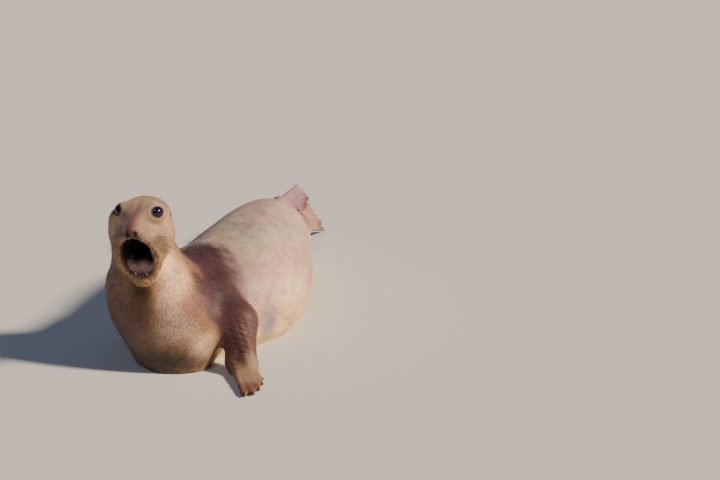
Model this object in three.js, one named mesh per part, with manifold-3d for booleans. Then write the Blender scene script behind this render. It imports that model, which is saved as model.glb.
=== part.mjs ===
// A female elephant seal at life size, lying on her belly with the neck raised and the mouth wide open.
// Millimetres, +Z up. She faces -Y, her tail lies towards +Y and her left side is +X.
// The whole animal is one smooth solid worked out from named sizes: sections along the trunk and the
// neck, and rounded forms for the head and limbs. That solid is then parted by thin cuts.
import * as THREE from 'three';
import Module from 'manifold-3d';

const wasm = await Module();
wasm.setup();

// Driving dimensions
const nodeGap = 0.3; // left open between touching parts
const frameCentre = [21.6, 1188.3, 0];
const bodyBlend = 70; // radius over which the neck runs into the trunk
const limbBlend = 80; // the same where a limb runs into the trunk

// Trunk: [along Y, centre X, half width, height of the back, height of the widest level]
const trunkSections = [
  [60, -50, 200, 395, 190],
  [220, -50, 236, 440, 170],
  [420, -5, 304, 466, 136],
  [640, 55, 342, 480, 114],
  [860, 80, 322, 512, 136],
  [1100, 80, 283, 530, 150],
  [1350, 64, 240, 508, 162],
  [1600, 35, 190, 435, 158],
  [1820, 4, 134, 341, 144],
  [2010, -14, 80, 257, 136],
  [2150, -18, 54, 210, 136],
];
const trunkEnds = [90, 2110];
const trunkSink = 70; // the belly's full curve would reach this far below the floor
const trunkPower = 2.2; // 2 is an ellipse, more is squarer

// Neck and chest: [height, centre X, centre Y, half width, half depth]
const neckSections = [
  [-60, 0, 130, 116, 95],
  [0, -14, 128, 150, 124],
  [100, -32, 140, 200, 172],
  [160, -48, 150, 238, 198],
  [220, -66, 158, 258, 212],
  [300, -86, 165, 261, 220],
  [400, -110, 158, 228, 208],
  [480, -134, 142, 170, 180],
  [560, -150, 120, 140, 158],
  [640, -150, 72, 132, 140],
  [730, -140, 36, 122, 116],
];
const neckTop = 752;

// Head: its own frame, with l to her left, f forward and u up
const headOrigin = [-68, -70, 718];
const headTurn = 4; // degrees towards her left
const headTilt = 4; // degrees, muzzle above level
const headLean = 0; // degrees, crown towards her right
const gape = 66; // degrees between the jaws
const hinge = [-42, -50]; // f and u of the jaw's pivot

const eyeRadius = 33;
const eyeCentre = [73, 56, 49];
const lidRadius = 37; // outside of the lids, round the eyeball's centre
const lidOpening = [28, 25, 26]; // half sizes of the form that opens the lids: along, across, deep
const lidOpeningOut = 40; // its distance from the eyeball's centre
const nostril = { from: [15, 260, -22], inwards: [0, -1, 0], size: [4.5, 11, 10], outward: [0.3, 0.9, 0.1] };
const earPit = { from: [180, -40, 24], inwards: [-1, 0, 0], size: [9, 5, 8], outward: [1, 0, 0] };

// Rounded forms of the head: [l, f, u, half width, half length, half height], l mirrored where not 0
const skullForms = [
  [0, -26, 18, 110, 128, 86],
  [32, 44, 42, 58, 62, 44],
  [56, -20, -60, 74, 100, 92],
  [0, 70, 14, 46, 76, 44],
  [0, 128, -12, 36, 48, 32],
  [34, 96, -46, 46, 58, 44],
  [50, 36, -104, 50, 66, 90],
];
const skullBlend = 34;

// Lower jaw: [l, distance from the pivot, height over the jaw's line, half width, half length, half height]
const jawForms = [
  [0, 146, -24, 70, 98, 34],
  [0, 60, -30, 96, 96, 58],
];
const jawBlend = 34;

// Mouth: a round space behind an oval opening
const mouthTop = [150, -48]; // f and u of the upper lip's middle
const mouthBottom = [42, -236]; // of the lower lip's middle
const mouthHalfWidth = 66;
const mouthDepth = 150;
const palate = -44; // u of the roof
const lipRadius = 14;
const lipRing = [84, 122, -16]; // half width and half height of the lips' middle line, and how far out it lies
const lipThickness = 21; // half of it
const mouthFloor = [205, 140, 40]; // where along the jaw it starts to fall, over what length, and how deep
const palateRise = [60, 90, 30]; // f where the roof starts to rise backwards, over what length, how high

// Fore limbs: shoulder and elbow, the wrist's two sides, all with radii, and the tips of the five digits
const leftArm = {
  joints: [[165, 290, 300, 84], [270, 196, 208, 72]],
  wrist: [[270, 100, 44, 40], [344, 82, 42, 36]],
  palmHeight: 24,
  tips: [[402, -186, 8], [431, -160, 8], [438, -104, 8], [432, -38, 8], [414, 22, 8]],
};
const rightArm = {
  joints: [[-240, 290, 290, 84], [-306, 304, 185, 70]],
  wrist: [[-306, 402, 44, 40], [-316, 348, 42, 36]],
  palmHeight: 24,
  tips: [[-322, 660, 8], [-356, 648, 8], [-384, 604, 8], [-395, 544, 8], [-396, 480, 8]],
};
const handRadii = [19, 11]; // of a digit, at its root and at its tip
const footRadii = [17, 10];
const webThickness = 8.5; // half of it
const webShare = 0.98; // how far along the digits the skin between them reaches
const clawSize = [32, 6.5]; // length and radius of a fore claw
const clawSink = 14; // how much of it is in the digit
const foreClawRise = 7; // the claw's root over the digit's middle line

// Hind limbs: hip and ankle, the foot's two sides, and the tips of the five digits
const leftFoot = {
  joints: [[48, 1900, 160, 80], [34, 2070, 172, 54]],
  wrist: [[22, 2190, 140, 32], [18, 2176, 214, 32]],
  tips: [[28, 2632, 22], [22, 2574, 82], [10, 2512, 134], [4, 2450, 182], [0, 2396, 232]],
};
const rightFoot = {
  joints: [[-56, 1900, 170, 80], [-72, 2060, 200, 56]],
  wrist: [[-88, 2180, 210, 32], [-118, 2160, 292, 32]],
  tips: [[-72, 2624, 170], [-54, 2566, 230], [-54, 2506, 264], [-58, 2446, 300], [-70, 2390, 342]],
};
const tailForm = [[0, 2040, 170, 66], [-14, 2098, 210, 22]];

// Where the animal is parted: a point on each cut and the direction from one side to the other
const cuts = {
  headNeck: [[0, -60, 440], [0, -250, 210]],
  neckChest: [[0, 320, 535], [0, -175, 370]],
  chestTorso: [[0, 440, 0], [0, 1, 0]],
  torsoHips: [[0, 1130, 0], [0, 1, 0]],
  hipsTail: [[0, 1900, 0], [0, 1, 0]],
  tailFeet: [[0, 2125, 0], [0, 1, 0]],
  betweenFeet: [[-20, 0, 0], [1, 0, 0]],
  leftElbow: [[290, 168, 172], [0.15, -0.8, -0.58]],
  leftInner: [[206, 0, 0], [1, 0, -0.16]],
  rightElbow: [[-332, 322, 128], [-0.1, 0.55, -0.83]],
  rightInner: [[-296, 0, 0], [-1, 0, 0]],
};

// Cell sizes of the meshes
const cells = {
  head: [16, 16, 16],
  neck: [38, 38, 38],
  chest: [56, 56, 50],
  torso: [64, 78, 58],
  tail: [42, 42, 38],
  hand: [21, 21, 12],
  foot: [12, 25, 25],
};

// Small vector tools
const add = (a, b) => [a[0] + b[0], a[1] + b[1], a[2] + b[2]];
const sub = (a, b) => [a[0] - b[0], a[1] - b[1], a[2] - b[2]];
const scale = (a, s) => [a[0] * s, a[1] * s, a[2] * s];
const dot = (a, b) => a[0] * b[0] + a[1] * b[1] + a[2] * b[2];
const cross = (a, b) => [
  a[1] * b[2] - a[2] * b[1],
  a[2] * b[0] - a[0] * b[2],
  a[0] * b[1] - a[1] * b[0],
];
const unit = (a) => scale(a, 1 / Math.hypot(...a));
const mix = (a, b, t) => a.map((value, i) => value + (b[i] - value) * t);
const clamp = (x, low, high) => Math.min(high, Math.max(low, x));
const radians = (degrees) => degrees * Math.PI / 180;

// Union and difference with a rounded join of radius k
function smoothMin(a, b, k) {
  const h = Math.max(k - Math.abs(a - b), 0) / k;
  return Math.min(a, b) - h * h * k / 4;
}
const smoothMax = (a, b, k) => -smoothMin(-a, -b, k);

// A smooth curve through rows whose first value is the place along the curve
function along(rows, t) {
  const last = rows.length - 1;
  if (t <= rows[0][0]) return rows[0];
  if (t >= rows[last][0]) return rows[last];
  let i = 0;
  while (rows[i + 1][0] < t) i += 1;
  const [p, q] = [rows[i], rows[i + 1]];
  const before = rows[Math.max(i - 1, 0)];
  const after = rows[Math.min(i + 2, last)];
  const span = q[0] - p[0];
  const s = (t - p[0]) / span;
  return p.map((value, c) => {
    const slopeP = (q[c] - before[c]) / (q[0] - before[0]) * span;
    const slopeQ = (after[c] - value) / (after[0] - p[0]) * span;
    return value * (1 + s * s * (2 * s - 3)) + q[c] * s * s * (3 - 2 * s)
      + slopeP * s * (1 - s) * (1 - s) - slopeQ * s * s * (1 - s);
  });
}

// Rounded forms: each gives the distance to its surface, negative inside
function ellipsoid(p, centre, radii) {
  const q = sub(p, centre);
  const near = Math.hypot(q[0] / radii[0], q[1] / radii[1], q[2] / radii[2]);
  const far = Math.hypot(q[0] / radii[0] ** 2, q[1] / radii[1] ** 2, q[2] / radii[2] ** 2);
  return far < 1e-9 ? -Math.min(...radii) : near * (near - 1) / far;
}
function bone(p, a, b) { // a round bar from a to b, each a place and a radius
  const ab = sub(b, a);
  const t = clamp(dot(sub(p, a), ab) / dot(ab, ab), 0, 1);
  return Math.hypot(...sub(p, mix(a.slice(0, 3), b, t))) - (a[3] + (b[3] - a[3]) * t);
}
function sheet(p, a, b, c, halfThickness) { // a flat triangle with rounded rims
  const [ba, cb, ac] = [sub(b, a), sub(c, b), sub(a, c)];
  const [pa, pb, pc] = [sub(p, a), sub(p, b), sub(p, c)];
  const normal = cross(ba, ac);
  const inside = dot(cross(ba, normal), pa) >= 0 && dot(cross(cb, normal), pb) >= 0
    && dot(cross(ac, normal), pc) >= 0;
  const edge = (e, q) => {
    const d = sub(scale(e, clamp(dot(e, q) / dot(e, e), 0, 1)), q);
    return dot(d, d);
  };
  const squared = inside ? dot(normal, pa) ** 2 / dot(normal, normal)
    : Math.min(edge(ba, pa), edge(cb, pb), edge(ac, pc));
  return Math.sqrt(squared) - halfThickness;
}

// Trunk and neck
function trunk(p) {
  const [, centre, halfWidth, back, widest] = along(trunkSections, p[1]);
  const halfHeight = p[2] > widest ? back - widest : widest + trunkSink;
  const ring = (Math.abs((p[0] - centre) / halfWidth) ** trunkPower
    + Math.abs((p[2] - widest) / halfHeight) ** trunkPower) ** (1 / trunkPower);
  const side = (ring - 1) * Math.min(halfWidth, halfHeight);
  return smoothMax(smoothMax(side, trunkEnds[0] - p[1], 80), p[1] - trunkEnds[1], 90);
}
function neck(p) {
  const [, x, y, halfWidth, halfDepth] = along(neckSections, p[2]);
  const ring = Math.hypot((p[0] - x) / halfWidth, (p[1] - y) / halfDepth);
  return smoothMax((ring - 1) * Math.min(halfWidth, halfDepth), p[2] - neckTop, 60);
}

// The head's own axes in the model
const headForward = [
  Math.cos(radians(headTilt)) * Math.sin(radians(headTurn)),
  -Math.cos(radians(headTilt)) * Math.cos(radians(headTurn)),
  Math.sin(radians(headTilt)),
];
const levelLeft = [Math.cos(radians(headTurn)), Math.sin(radians(headTurn)), 0];
const levelUp = cross(headForward, levelLeft);
const leanAngle = radians(headLean);
const headLeft = add(scale(levelLeft, Math.cos(leanAngle)), scale(levelUp, Math.sin(leanAngle)));
const headUp = cross(headForward, headLeft);
const inHead = (p) => {
  const q = sub(p, headOrigin);
  return [dot(q, headLeft), dot(q, headForward), dot(q, headUp)];
};
const fromHead = ([l, f, u]) => {
  const level = add(scale(headLeft, l), scale(headForward, f));
  return add(headOrigin, add(level, scale(headUp, u)));
};

// The lower jaw's axes inside the head: along the jaw and up from its tooth line
const jawAlong = [Math.cos(radians(gape)), -Math.sin(radians(gape))];
const inJaw = ([l, f, u]) => {
  const [df, du] = [f - hinge[0], u - hinge[1]];
  return [l, df * jawAlong[0] + du * jawAlong[1], -df * jawAlong[1] + du * jawAlong[0]];
};
const fromJaw = ([l, a, b]) => [
  l,
  hinge[0] + a * jawAlong[0] - b * jawAlong[1],
  hinge[1] + a * jawAlong[1] + b * jawAlong[0],
];

const eyeAxis = unit([0.54, 0.81, 0.23]);

const mouthCentre = mix(mouthTop, mouthBottom, 0.5);
const mouthHalfHeight = Math.hypot(mouthTop[0] - mouthBottom[0], mouthTop[1] - mouthBottom[1]) / 2;
const mouthUp = [0, 1].map((i) => (mouthTop[i] - mouthCentre[i]) / mouthHalfHeight);
function mouthSpace(q) {
  const [df, du] = [q[1] - mouthCentre[0], q[2] - mouthCentre[1]];
  const up = df * mouthUp[0] + du * mouthUp[1];
  const deep = Math.min(df * mouthUp[1] - du * mouthUp[0], 0);
  const ring = Math.hypot(q[0] / mouthHalfWidth, up / mouthHalfHeight, deep / mouthDepth) - 1;
  const [, a, b] = inJaw(q);
  const back = clamp((mouthFloor[0] - a) / mouthFloor[1], 0, 1);
  const floor = 2 - mouthFloor[2] * back * back * (3 - 2 * back) - b;
  const roof = q[2] - palate - palateRise[2] * clamp((palateRise[0] - q[1]) / palateRise[1], 0, 1);
  return smoothMax(smoothMax(ring * mouthHalfWidth, floor, 26), roof, 16);
}

// Distance to the rolled rim of the mouth's opening
function lips(q) {
  const [df, du] = [q[1] - mouthCentre[0], q[2] - mouthCentre[1]];
  const up = df * mouthUp[0] + du * mouthUp[1];
  const out = df * mouthUp[1] - du * mouthUp[0];
  const ring = Math.max(Math.hypot(q[0] / lipRing[0], up / lipRing[1]), 0.2);
  return Math.hypot(Math.hypot(q[0], up) * (1 - 1 / ring), out - lipRing[2]) - lipThickness;
}

function head(p) {
  const q = inHead(p);
  const mirrored = [Math.abs(q[0]), q[1], q[2]];
  let solid = Infinity;
  for (const [l, f, u, ...radii] of skullForms) {
    solid = smoothMin(solid, ellipsoid(mirrored, [l, f, u], radii), skullBlend);
  }
  const j = inJaw(q);
  for (const [l, a, b, ...radii] of jawForms) {
    solid = smoothMin(solid, ellipsoid(j, [l, a, b], radii), jawBlend);
  }
  solid = smoothMin(solid, lips(q), 30);
  return smoothMin(solid, Math.hypot(...sub(mirrored, eyeCentre)) - lidRadius, 26);
}

// Limbs: bars for the long bones, five digits and the web between them
function limb(p, { joints, wrist, palmHeight, tips }, radii) {
  let arm = bone(p, joints[0], joints[1]);
  for (const side of wrist) arm = smoothMin(arm, bone(p, joints[1], side), 30);
  arm = smoothMin(arm, bone(p, wrist[0], wrist[1]), 24);
  const roots = tips.map((tip, i) => {
    const root = mix(wrist[0], wrist[1], i / 4).slice(0, 3);
    if (palmHeight) root[2] = palmHeight;
    return mix(root, tip, 0.06);
  });
  const ends = tips.map((tip, i) => mix(roots[i], tip, webShare));
  let hand = Infinity;
  tips.forEach((tip, i) => {
    hand = smoothMin(hand, bone(p, [...roots[i], radii[0]], [...tip, radii[1]]), 18);
    if (i === 0) return;
    const notch = mix(mix(ends[i - 1], ends[i], 0.5), mix(roots[i - 1], roots[i], 0.5), 0.06);
    const web = Math.min(
      sheet(p, roots[i - 1], ends[i - 1], notch, webThickness),
      sheet(p, roots[i - 1], notch, roots[i], webThickness),
      sheet(p, roots[i], notch, ends[i], webThickness),
    );
    hand = smoothMin(hand, web, 14);
  });
  return smoothMin(arm, hand, 30);
}

// The whole animal
const limbs = [[leftArm, handRadii], [rightArm, handRadii], [leftFoot, footRadii], [rightFoot, footRadii]];
function reach(p, { joints, tips }) { // a quick lower bound on the distance to a limb
  let nearest = Infinity;
  for (const place of [...joints, ...tips]) {
    nearest = Math.min(nearest, Math.hypot(p[0] - place[0], p[1] - place[1], p[2] - place[2]));
  }
  return nearest - 240;
}
function seal(p) {
  let d = smoothMin(trunk(p), neck(p), bodyBlend);
  d = smoothMin(d, bone(p, tailForm[0], tailForm[1]), 40);
  let nearestLimb = Infinity;
  for (const [form, radii] of limbs) {
    const bound = reach(p, form);
    nearestLimb = Math.min(nearestLimb, bound > 90 ? bound : limb(p, form, radii));
  }
  d = smoothMin(d, nearestLimb, limbBlend);
  const toHead = Math.hypot(...sub(p, headOrigin)) - 330;
  if (toHead > 100) return d;
  d = smoothMin(d, head(p), 60);
  return smoothMax(d, -mouthSpace(inHead(p)), lipRadius);
}

// A closed mesh of a solid over a grid with its own axes and cell sizes
const corners = [0, 1, 2, 3, 4, 5, 6, 7].map((c) => [c & 1, (c >> 1) & 1, (c >> 2) & 1]);
const cubeEdges = [];
for (let a = 0; a < 8; a += 1) {
  for (const bit of [1, 2, 4]) if (!(a & bit)) cubeEdges.push([a, a | bit]);
}
const edgeOf = new Map(cubeEdges.map(([a, b], i) => [a * 8 + b, i]));
const edgeBetween = (a, b) => edgeOf.get(Math.min(a, b) * 8 + Math.max(a, b));
const cubeFaces = [];
for (const axis of [1, 2, 4]) {
  const [s, t] = [1, 2, 4].filter((bit) => bit !== axis);
  for (const side of [0, axis]) cubeFaces.push([side, side | s, side | s | t, side | t]);
}
// The separate sheets of surface in a cell, each a set of crossed edges
const sheetsOf = [];
for (let mask = 0; mask < 256; mask += 1) {
  const inside = (c) => (mask >> c) & 1;
  const group = cubeEdges.map(([a, b], i) => (inside(a) !== inside(b) ? i : -1));
  const join = (a, b) => {
    const [from, to] = [group[a], group[b]];
    group.forEach((g, i) => {
      if (g === from) group[i] = to;
    });
  };
  for (const ring of cubeFaces) {
    const crossed = ring.map((c, i) => edgeBetween(c, ring[(i + 1) % 4]))
      .filter((e) => group[e] >= 0);
    if (crossed.length === 2) join(crossed[0], crossed[1]);
    if (crossed.length === 4) {
      ring.forEach((c, i) => {
        if (inside(c)) join(edgeBetween(c, ring[(i + 1) % 4]), edgeBetween(c, ring[(i + 3) % 4]));
      });
    }
  }
  const names = [...new Set(group.filter((g) => g >= 0))];
  sheetsOf.push(group.map((g) => (g < 0 ? -1 : names.indexOf(g))));
}

function meshOf(solid, low, high, cell, axes = [[1, 0, 0], [0, 1, 0], [0, 0, 1]], origin = [0, 0, 0]) {
  const count = low.map((value, i) => Math.ceil((high[i] - value) / cell[i]) + 1);
  const [nx, ny, nz] = count;
  const place = (i, j, k) => {
    const q = [low[0] + i * cell[0], low[1] + j * cell[1], low[2] + k * cell[2]];
    return add(origin, add(scale(axes[0], q[0]), add(scale(axes[1], q[1]), scale(axes[2], q[2]))));
  };
  const mirrored = dot(cross(axes[0], axes[1]), axes[2]) < 0;
  const index = (i, j, k) => (k * ny + j) * nx + i;
  const values = new Float64Array(nx * ny * nz);
  for (let k = 0; k < nz; k += 1) {
    for (let j = 0; j < ny; j += 1) {
      for (let i = 0; i < nx; i += 1) {
        const rim = i === 0 || j === 0 || k === 0 || i === nx - 1 || j === ny - 1 || k === nz - 1;
        const value = solid(place(i, j, k));
        values[index(i, j, k)] = rim ? Math.max(value, 1) : value;
      }
    }
  }
  const vertices = [];
  const vertexAt = new Map();
  for (let k = 0; k + 1 < nz; k += 1) {
    for (let j = 0; j + 1 < ny; j += 1) {
      for (let i = 0; i + 1 < nx; i += 1) {
        let mask = 0;
        corners.forEach(([a, b, c], n) => {
          if (values[index(i + a, j + b, k + c)] < 0) mask |= 1 << n;
        });
        if (mask === 0 || mask === 255) continue;
        const sheets = sheetsOf[mask];
        for (let s = 0; sheets.includes(s); s += 1) {
          let sum = [0, 0, 0];
          let hits = 0;
          cubeEdges.forEach(([a, b], e) => {
            if (sheets[e] !== s) return;
            const [ca, cb] = [corners[a], corners[b]];
            const va = values[index(i + ca[0], j + ca[1], k + ca[2])];
            const vb = values[index(i + cb[0], j + cb[1], k + cb[2])];
            const t = va / (va - vb);
            sum = add(sum, place(i + ca[0] + (cb[0] - ca[0]) * t, j + ca[1] + (cb[1] - ca[1]) * t,
              k + ca[2] + (cb[2] - ca[2]) * t));
            hits += 1;
          });
          vertexAt.set(index(i, j, k) * 4 + s, vertices.length);
          vertices.push(ontoSurface(solid, scale(sum, 1 / hits), 0.45 * Math.min(...cell)));
        }
      }
    }
  }
  // One square of two triangles for each crossed grid edge
  const triangles = [];
  const directions = [[1, 0, 0], [0, 1, 0], [0, 0, 1]];
  for (let k = 0; k + 1 < nz; k += 1) {
    for (let j = 0; j + 1 < ny; j += 1) {
      for (let i = 0; i + 1 < nx; i += 1) {
        const here = values[index(i, j, k)] < 0;
        for (let axis = 0; axis < 3; axis += 1) {
          const step = directions[axis];
          if (here === values[index(i + step[0], j + step[1], k + step[2])] < 0) continue;
          const [s, t] = [directions[(axis + 1) % 3], directions[(axis + 2) % 3]];
          const ring = [[0, 0], [1, 0], [1, 1], [0, 1]].map(([a, b]) => {
            const ci = i - a * s[0] - b * t[0];
            const cj = j - a * s[1] - b * t[1];
            const ck = k - a * s[2] - b * t[2];
            const from = (i - ci) + 2 * (j - cj) + 4 * (k - ck);
            const edge = edgeBetween(from, from | (1 << axis));
            let mask = 0;
            corners.forEach(([x, y, z], n) => {
              if (values[index(ci + x, cj + y, ck + z)] < 0) mask |= 1 << n;
            });
            return vertexAt.get(index(ci, cj, ck) * 4 + sheetsOf[mask][edge]);
          });
          if (here === mirrored) ring.reverse();
          const [a, b, c, d] = ring;
          const straight = Math.hypot(...sub(vertices[a], vertices[c]));
          const other = Math.hypot(...sub(vertices[b], vertices[d]));
          if (straight <= other) triangles.push(a, b, c, a, c, d);
          else triangles.push(a, b, d, b, c, d);
        }
      }
    }
  }
  return { vertices: evenedOut(solid, vertices, triangles, 0.45 * Math.min(...cell)), triangles };
}

// Moves each vertex towards the middle of its neighbours and back onto the surface
function evenedOut(solid, vertices, triangles, most) {
  let places = vertices;
  for (let pass = 0; pass < 3; pass += 1) {
    const sums = places.map(() => [0, 0, 0]);
    const counts = places.map(() => 0);
    for (let i = 0; i < triangles.length; i += 3) {
      for (let c = 0; c < 3; c += 1) {
        const at = triangles[i + c];
        sums[at] = add(sums[at], places[triangles[i + (c + 1) % 3]]);
        counts[at] += 1;
      }
    }
    places = places.map((p, i) => ontoSurface(solid, mix(p, scale(sums[i], 1 / counts[i]), 0.6), most));
  }
  return places;
}

// Moves a point onto the surface, at most a given way
function ontoSurface(solid, start, most) {
  let p = start;
  const h = 0.5;
  for (let pass = 0; pass < 3; pass += 1) {
    const d = solid(p);
    const g = [0, 1, 2].map((axis) => {
      const [up, down] = [[...p], [...p]];
      up[axis] += h;
      down[axis] -= h;
      return (solid(up) - solid(down)) / (2 * h);
    });
    const steep = dot(g, g);
    if (steep < 0.04) break;
    const next = sub(p, scale(g, d / steep));
    const way = sub(next, start);
    const far = Math.hypot(...way);
    p = far > most ? add(start, scale(way, most / far)) : next;
  }
  return p;
}

function toSolid({ vertices, triangles }) {
  const solid = new wasm.Manifold(new wasm.Mesh({
    numProp: 3,
    vertProperties: new Float32Array(vertices.flat()),
    triVerts: new Uint32Array(triangles),
  }));
  return largest(solid);
}
function largest(solid) { // a hollow or a loose scrap goes, the body itself stays
  return solid.decompose().sort((a, b) => b.volume() - a.volume())[0];
}
function fromGeometry(geometry, matrix) { // a three.js shape as vertices and triangles
  const shape = geometry.clone().applyMatrix4(matrix);
  const places = shape.getAttribute('position');
  const seen = new Map();
  const vertices = [];
  const order = [];
  for (let i = 0; i < places.count; i += 1) {
    const p = [places.getX(i), places.getY(i), places.getZ(i)];
    const name = p.map((value) => Math.round(value * 1000)).join();
    if (!seen.has(name)) {
      seen.set(name, vertices.length);
      vertices.push(p);
    }
    order.push(seen.get(name));
  }
  const list = shape.index ? Array.from(shape.index.array, (i) => order[i]) : order;
  const triangles = [];
  for (let i = 0; i < list.length; i += 3) {
    const [a, b, c] = list.slice(i, i + 3);
    if (a === b || b === c || c === a) continue;
    triangles.push(...(matrix.determinant() < 0 ? [a, c, b] : [a, b, c]));
  }
  return toSolid({ vertices, triangles });
}

// Half of space, as a very large box whose face passes through a point
const boxSize = 6000;
function beyond(point, direction, shift = 0) {
  const normal = new THREE.Vector3(...unit(direction));
  const turn = new THREE.Quaternion().setFromUnitVectors(new THREE.Vector3(0, 0, 1), normal);
  const centre = normal.clone().multiplyScalar(boxSize / 2 + shift).add(new THREE.Vector3(...point));
  const matrix = new THREE.Matrix4().compose(centre, turn, new THREE.Vector3(1, 1, 1));
  return fromGeometry(new THREE.BoxGeometry(boxSize, boxSize, boxSize), matrix);
}
// The part of space past one cut or several, drawn back by half the gap or pushed on by it
function past(names, side = 1, shift = nodeGap / 2) {
  return names.map((name) => beyond(cuts[name][0], scale(cuts[name][1], side), shift))
    .reduce((space, next) => space.intersect(next));
}
const floorUp = beyond([0, 0, 0], [0, 0, 1]);
const meshed = (...range) => toSolid(meshOf(seal, ...range)).intersect(floorUp);

const group = new THREE.Group();
group.position.set(-frameCentre[0], -frameCentre[1], -frameCentre[2]);

function addNode(name, solid, colour, roughness) {
  const { vertProperties, triVerts, numProp } = largest(solid).getMesh();
  const places = new Float32Array(vertProperties.length / numProp * 3);
  for (let i = 0; i < places.length / 3; i += 1) {
    for (let c = 0; c < 3; c += 1) places[i * 3 + c] = vertProperties[i * numProp + c];
  }
  const geometry = new THREE.BufferGeometry();
  geometry.setAttribute('position', new THREE.BufferAttribute(places, 3));
  geometry.setIndex(Array.from(triVerts));
  geometry.computeVertexNormals();
  const material = new THREE.MeshStandardMaterial({ color: colour, roughness, metalness: 0 });
  const mesh = new THREE.Mesh(geometry, material);
  mesh.name = name;
  group.add(mesh);
}

function surfaceAlong(from, direction) { // the first place on the way where the solid begins
  let way = 0;
  for (let step = 0; step < 60; step += 1) {
    const d = seal(add(from, scale(direction, way)));
    if (d < 0.2) break;
    way += Math.max(d * 0.7, 0.4);
  }
  return add(from, scale(direction, way));
}

// Teeth and claws are cones fused with what they grow from, their roots well inside
function cone(root, direction, length, radius, sides = 6) {
  const way = new THREE.Vector3(...unit(direction));
  const turn = new THREE.Quaternion().setFromUnitVectors(new THREE.Vector3(0, 1, 0), way);
  const centre = new THREE.Vector3(...add(root, scale(unit(direction), length / 2)));
  const matrix = new THREE.Matrix4().compose(centre, turn, new THREE.Vector3(1, 1, 1));
  return fromGeometry(new THREE.ConeGeometry(radius, length, sides, 1), matrix);
}
const headDirection = (q) => sub(fromHead(q), headOrigin);
const jawDirection = (q) => headDirection(sub(fromJaw(q), fromJaw([0, 0, 0])));

// Teeth: [how far along the jaw, half the spacing, height of the crown, radius]
const toothRows = {
  canine: [[192, 25, 22, 7]],
  incisor: [[200, 9, 8, 3.5]],
  postcanine: [[172, 33, 9, 4.5], [153, 39, 10, 4.5], [134, 44, 10, 4.5], [116, 48, 9, 4.5], [99, 51, 8, 4]],
};
const upperTeeth = {
  canine: [[132, 24, 26, 7.5]],
  incisor: [[144, 9, 9, 4]],
  postcanine: [[112, 32, 8, 4.5], [95, 37, 9, 4.5], [78, 41, 9, 4.5], [61, 44, 8, 4.5], [46, 46, 7, 4]],
};
const toothSink = 12;

function withTeeth(solid, rows, placeOf, up) {
  let result = solid;
  for (const row of Object.values(rows)) {
    for (const [along, spacing, crown, radius] of row) {
      for (const side of [-1, 1]) {
        const start = placeOf(side * spacing, along);
        const gum = surfaceAlong(start, scale(up, -1));
        const root = sub(gum, scale(up, toothSink));
        result = result.add(cone(root, up, toothSink + crown, radius * (toothSink + crown) / crown));
      }
    }
  }
  return result;
}

// Head and lower jaw
const headAxes = [headLeft, headForward, headUp];
const headWhole = meshed([-221, -291, -330], [221, 230, 150], cells.head, headAxes, headOrigin)
  .intersect(past(['headNeck']));
const eyeball = new THREE.IcosahedronGeometry(eyeRadius, 2);
const placeEye = (side, size) => new THREE.Matrix4().makeScale(size, size, size)
  .setPosition(...fromHead([side * eyeCentre[0], eyeCentre[1], eyeCentre[2]]));
const eyes = { left: 1, right: -1 };
const roundShape = new THREE.IcosahedronGeometry(1, 2);
function hollow(side, place, size, outward = [1, 0, 0]) { // a round hollow turned to open outwards
  const mirrored = ([l, f, u]) => headDirection([side * l, f, u]);
  const deep = unit(mirrored(outward));
  const lengthwise = unit(cross(headUp, deep));
  const across = unit(cross(deep, lengthwise));
  const matrix = new THREE.Matrix4().makeBasis(
    new THREE.Vector3(...scale(lengthwise, size[0])),
    new THREE.Vector3(...scale(across, size[1])),
    new THREE.Vector3(...scale(deep, size[2])),
  );
  return fromGeometry(roundShape, matrix.setPosition(...fromHead([side * place[0], place[1], place[2]])));
}
function pit(side, { from, inwards, size, outward }) { // a hollow set where the skin is met
  const start = fromHead([side * from[0], from[1], from[2]]);
  const met = surfaceAlong(start, headDirection([side * inwards[0], inwards[1], inwards[2]]));
  const [l, f, u] = inHead(met);
  return hollow(side, [side * l, f, u], size, outward);
}
let headSolid = headWhole;
for (const side of Object.values(eyes)) {
  const lids = hollow(side, add(eyeCentre, scale(eyeAxis, lidOpeningOut)), lidOpening, eyeAxis);
  headSolid = headSolid.subtract(fromGeometry(eyeball, placeEye(side, 1 + 1.5 * nodeGap / eyeRadius)))
    .subtract(lids)
    .subtract(pit(side, nostril))
    .subtract(pit(side, earPit));
}
const jawCuts = (shift) => beyond(fromHead([0, hinge[0], hinge[1]]), jawDirection([0, 1, 0]), shift)
  .intersect(beyond(fromHead([0, 40, -62]), headDirection([0, -0.27, -0.96]), shift));
let jawSolid = headSolid.intersect(jawCuts(nodeGap / 2));
headSolid = headSolid.subtract(jawCuts(-nodeGap / 2));

// Tongue: a flattened round form sunk in the mouth's floor
const tongueSize = [34, 66, 19];
const tonguePlace = [0, 116, -18];
const tongueShape = new THREE.IcosahedronGeometry(1, 2);
function placeTongue(extra) {
  const basis = new THREE.Matrix4().makeBasis(
    new THREE.Vector3(...headLeft),
    new THREE.Vector3(...jawDirection([0, 1, 0])),
    new THREE.Vector3(...jawDirection([0, 0, 1])),
  );
  return basis.setPosition(...fromHead(fromJaw(tonguePlace)))
    .scale(new THREE.Vector3(...tongueSize.map((size) => size + extra)));
}
jawSolid = withTeeth(jawSolid, toothRows, (l, a) => fromHead(fromJaw([l, a, 60])), jawDirection([0, 0, 1]));
jawSolid = jawSolid.subtract(fromGeometry(tongueShape, placeTongue(1.5 * nodeGap)));
headSolid = withTeeth(headSolid, upperTeeth, (l, f) => fromHead([l, f, -110]), headDirection([0, 0, -1]));

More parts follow.
